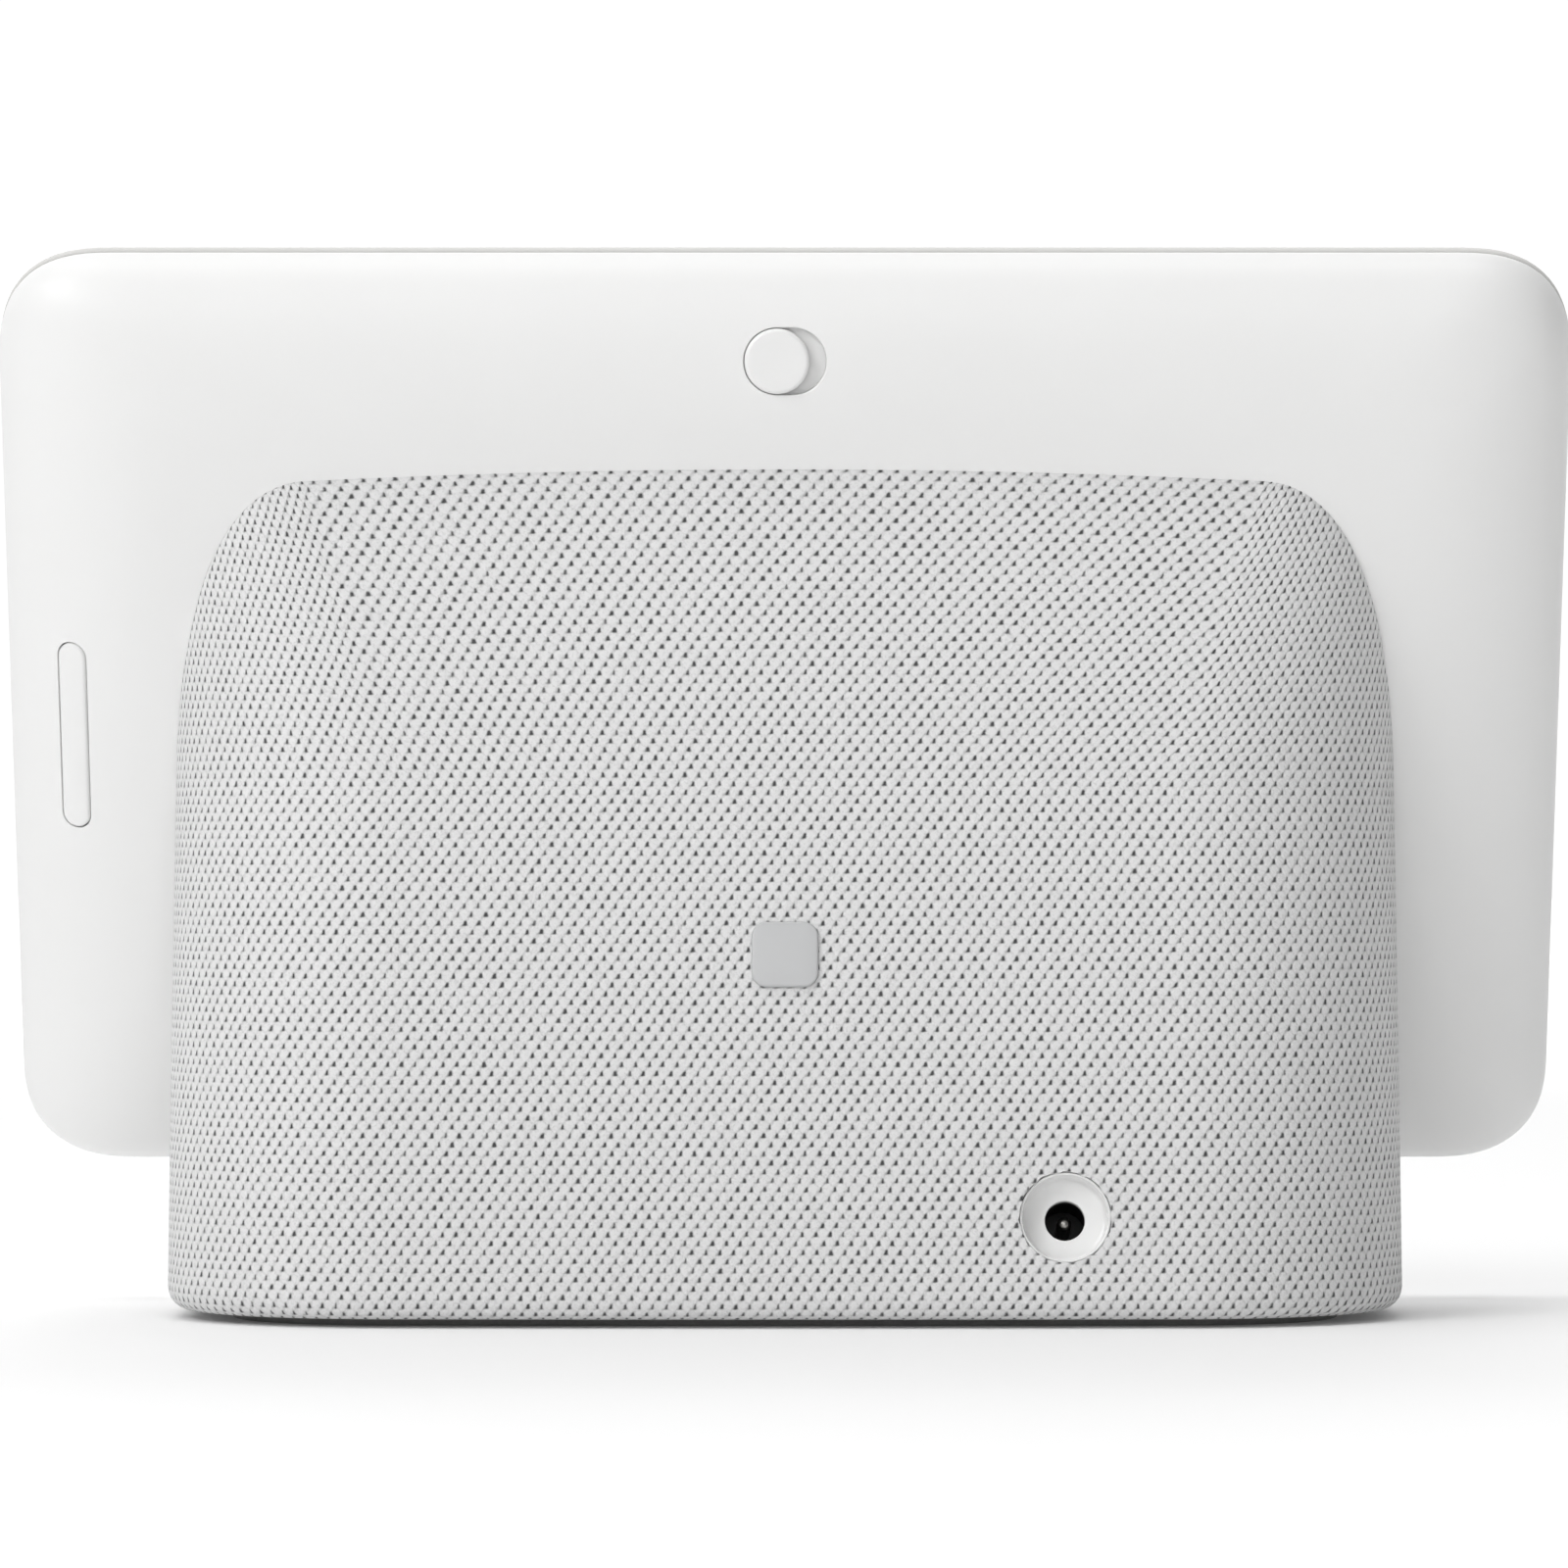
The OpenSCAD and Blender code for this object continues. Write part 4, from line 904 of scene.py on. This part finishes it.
def sleeve_grid():
    """The sleeve's outside: rows of points from hem to display, and each one's place in the cloth."""
    top = tops()
    flat = base_loop(20, 0)
    round_it = np.concatenate([[0], np.cumsum(np.linalg.norm(np.roll(flat, -1, 0) - flat, axis=1))])
    edge = [(BASE_LOW + BASE_EDGE_R * (1 - math.cos(a * DEG)), BASE_EDGE_R * (1 - math.sin(a * DEG)))
            for a in (0, 15, 30, 45, 60, 75)]
    hem = [(BASE_LOW, HEM_W), (BASE_LOW, 4.8), (BASE_LOW, 3.6)] + edge
    grid = [base_points(z, inset) for z, inset in hem]
    start = BASE_LOW + BASE_EDGE_R
    out_of_base = ways_out(np.full(len(top), start))
    shares = [k / CLOTH_ROWS for k in range(CLOTH_ROWS)]
    shares += [1 - part / CLOTH_ROWS for part in (0.75, 0.5, 0.25, 0)]
    for share in shares:
        height = start + (top - start) * share
        grid.append(rolled(base_points(height, 0), out_of_base))
    grid[-1] = touching_head(grid[-1])
    grid = np.array(grid)
    step = np.linalg.norm(np.diff(grid, axis=0), axis=2)
    rise = np.concatenate([np.zeros((1, len(top))), np.cumsum(step, axis=0)])
    rise -= rise[len(hem)][None, :] - start
    return grid, round_it, rise


def cloth_edge():
    """The cut edge of the cloth round the inlet: a circle that wanders a little."""
    turn = np.linspace(0, 2 * math.pi, 121)[:-1]
    r = CUP_D / 2 + 0.03 + 0.05 * np.sin(11 * turn + 1) + 0.04 * np.sin(23 * turn)
    return np.stack([r * np.cos(turn), r * np.sin(turn)], 1)


def build_sleeve():
    """The knit sleeve: one sheet of cloth with a thickness, cut away round the inlet."""
    grid, round_it, rise = sleeve_grid()
    rows, count = grid.shape[:2]
    points = grid.reshape(-1, 3)
    faces, cloth = [], []
    for j in range(rows - 1):
        for i in range(count):
            k = (i + 1) % count
            faces.append((j * count + i, j * count + k, (j + 1) * count + k, (j + 1) * count + i))
            for column, row in ((i, j), (i + 1, j), (i + 1, j + 1), (i, j + 1)):
                cloth.append((round_it[column] * MM, rise[row, column % count] * MM))
    obj = mesh_object("knit_sleeve", points, faces)
    weave = obj.data.uv_layers.new(name="Weave")
    weave.data.foreach_set("uv", np.array(cloth, np.float32).ravel())

    thick = obj.modifiers.new("thickness", "SOLIDIFY")
    thick.thickness, thick.offset = (FABRIC_T - 0.1) * MM, -1
    inlet = base_frame(INLET_X, INLET_Z)
    points, faces = loft([flat_ring(cloth_edge(), height) for height in (-6, 4)])
    cut(obj, (placed(points, inlet), faces))
    smooth(obj, 30)
    obj.data.materials.clear()
    obj.data.materials.append(LOOKS["knit_fabric"])
    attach(obj, "chassis")
    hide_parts("fabric_sleeve")


def build_inlet():
    """The dished cup round the socket."""
    where = base_frame(INLET_X, INLET_Z)
    outer, hole = CUP_D / 2, SOCKET_D / 2
    floor = -DISH_DEEP
    profile = [(outer - 0.02, -CUP_BACK), (outer - 0.02, -0.3), (outer - 0.07, -0.2), (outer - 0.18, -0.15),
               (outer - 0.27, -0.19), (outer - 0.31, -0.32), (outer - 0.42, floor + 0.66),
               (outer - 0.5, floor + 0.5), (outer - 0.66, floor + 0.38), (outer - 0.95, floor + 0.31),
               (outer - 1.5, floor + 0.2), (hole + 0.7, floor + 0.07), (hole + 0.2, floor + 0.01),
               (hole + 0.08, floor), (hole + 0.02, floor - 0.05), (hole, floor - 0.15), (hole, -CUP_BACK)]
    rings = [flat_ring(circle(r, 96), height) for r, height in profile]
    points, faces = loft(rings, loop=True)
    piece("inlet_dish", (placed(points, where), faces), LOOKS["cup_plastic"],
          replaces=("inlet_cup",))


def build_pin():
    """The contact pin with its rounded tip and thinner solder tail."""
    where = base_frame(INLET_X, INLET_Z)
    r, thinner = PIN_R, 0.2
    round_tip = [(r * (1 - math.cos(a)), r * math.sin(a) - r - PIN_TIP) for a in np.linspace(0, 1.5, 10)]
    profile = [(thinner, -PIN_END), (thinner, -PIN_STEP), (0, 0.05 - PIN_STEP)] + round_tip
    shape = stack(lambda inset: circle(r - inset, 40), profile, where)
    # The pin's metal is painted darker than plated steel, as painted shade deep in the socket
    piece("contact_pin", shape, LOOKS["pin_metal_painted_shade"], replaces=("inlet_pin",))


def build_badge():
    """A plain domed tile in place of any mark."""
    where = base_frame(0, BADGE_Z)
    profile = [(0, 0.06), (0, 0.3)] + fillet(0.28, 0.52) + [(1.2, 0.60), (2.4, 0.65), (3.5, 0.66)]
    shape = stack(lambda inset: rounded_square(BADGE_W / 2, 1.7, inset), profile, where)
    piece("badge_tile", shape, LOOKS["badge_plastic"], replaces=("badge",))


def build_foot():
    """The foot pad with a rounded lower edge."""
    inset = HEM_W + 1.3
    profile = [(inset + 0.35, 0), (inset + 0.1, 0.08), (inset, 0.3), (inset, 0.9)]
    rings = [flat_ring(base_loop(0, i), z) for i, z in profile]
    piece("foot", loft(rings), LOOKS["foot_rubber"], replaces=("foot_pad",))


# ---------------------------------------------------------------- studio


def aimed(obj, at):
    """Turns a lamp towards a place."""
    obj.rotation_euler = (Vector(at) - obj.location).to_track_quat("-Z", "Y").to_euler()


def lamp(name, place, size, power):
    data = bpy.data.lights.new(name, "AREA")
    data.shape, data.size, data.energy = "SQUARE", size, power
    obj = bpy.data.objects.new(name, data)
    obj.location = place
    bpy.context.scene.collection.objects.link(obj)
    aimed(obj, (0, 0, 0.06))


def floor_material():
    """Pale floor that fades to a white sweep far from the display, beyond the reach of the lamps."""
    look = Look("floor", (0.86, 0.86, 0.86), 0.8)
    look.link(look.ramp(look.noise(400, 2), (0.85, 0.85, 0.85), (0.87, 0.87, 0.87)), "Base Color")
    look.set("Emission Color", (1, 1, 1, 1))
    away = look.node("ShaderNodeVectorMath", operation="LENGTH")
    look.feed(away, 0, look.place())
    far = look.soft(away.outputs["Value"], *SWEEP)
    look.link(look.math("MULTIPLY_ADD", far, FLOOR_FAR - FLOOR_NEAR, FLOOR_NEAR), "Emission Strength")
    return look.material


def build_studio():
    """A white backdrop, four soft lamps and the floor."""
    scene = bpy.context.scene
    scene.view_settings.view_transform = "Standard"
    world = bpy.data.worlds.new("studio")
    scene.world = world
    world.use_nodes = True
    tree = world.node_tree
    background = tree.nodes["Background"]
    background.inputs["Color"].default_value = (1, 1, 1, 1)
    # A white backdrop on the glass's side of the studio, dim elsewhere
    place = tree.nodes.new("ShaderNodeTexCoord")
    split = tree.nodes.new("ShaderNodeSeparateXYZ")
    fade = tree.nodes.new("ShaderNodeMapRange")
    fade.interpolation_type = "SMOOTHSTEP"
    for socket, value in (("From Min", -0.1), ("From Max", -0.7), ("To Min", WORLD), ("To Max", BACKDROP)):
        fade.inputs[socket].default_value = value
    tree.links.new(place.outputs["Generated"], split.inputs[0])
    tree.links.new(split.outputs[1], fade.inputs["Value"])
    tree.links.new(fade.outputs["Result"], background.inputs["Strength"])

    for name, place, size, power in LAMPS:
        lamp(name, place, size, power)

    mesh = bpy.data.meshes.new("floor")
    corners = ((-1, -1), (1, -1), (1, 1), (-1, 1))
    mesh.from_pydata([(x * FLOOR_REACH, y * FLOOR_REACH, 0) for x, y in corners], [], [(0, 1, 2, 3)])
    floor = bpy.data.objects.new("floor", mesh)
    scene.collection.objects.link(floor)
    mesh.materials.append(floor_material())


def build_camera():
    """Behind the display and almost level, as the photograph was taken."""
    data = bpy.data.cameras.new("camera")
    data.sensor_width = 36
    data.lens = LENS
    data.shift_x = -1 / 1600
    camera = bpy.data.objects.new("camera", data)
    camera.location = CAMERA_AT
    camera.rotation_euler = (90 * DEG + CAMERA_TILT, 0, 180 * DEG)
    bpy.context.scene.collection.objects.link(camera)
    bpy.context.scene.camera = camera


# ---------------------------------------------------------------- light and camera, in metres

WORLD = 0.04            # strength of the surroundings, and of the backdrop
BACKDROP = 1.05
FLOOR_REACH = 6.0
FLOOR_NEAR = 0.04       # glow of the floor near the display and far away
FLOOR_FAR = 0.9
SWEEP = (0.7, 2.8)      # distances between which the floor's glow rises
LENS = 207.7
CAMERA_AT = (0, 1.0262, 0.0548)
CAMERA_TILT = 0.005     # radians upwards
LAMPS = (               # name, place, size and power in watts
    ("key", (1.2, 1.2, 1.2), 1.0, 16.5),
    ("top", (0.2, 0.1, 1.6), 1.2, 13.0),
    ("camera_side", (0.1, 1.7, 0.8), 1.2, 8.0),
    ("behind", (0.0, -1.5, 0.9), 1.2, 8.0),
)

dress_cad()
build_shell()
build_front()
build_rocker()
build_knob()
build_sleeve()
build_inlet()
build_pin()
build_badge()
build_foot()
build_studio()
build_camera()

bpy.context.view_layer.update()
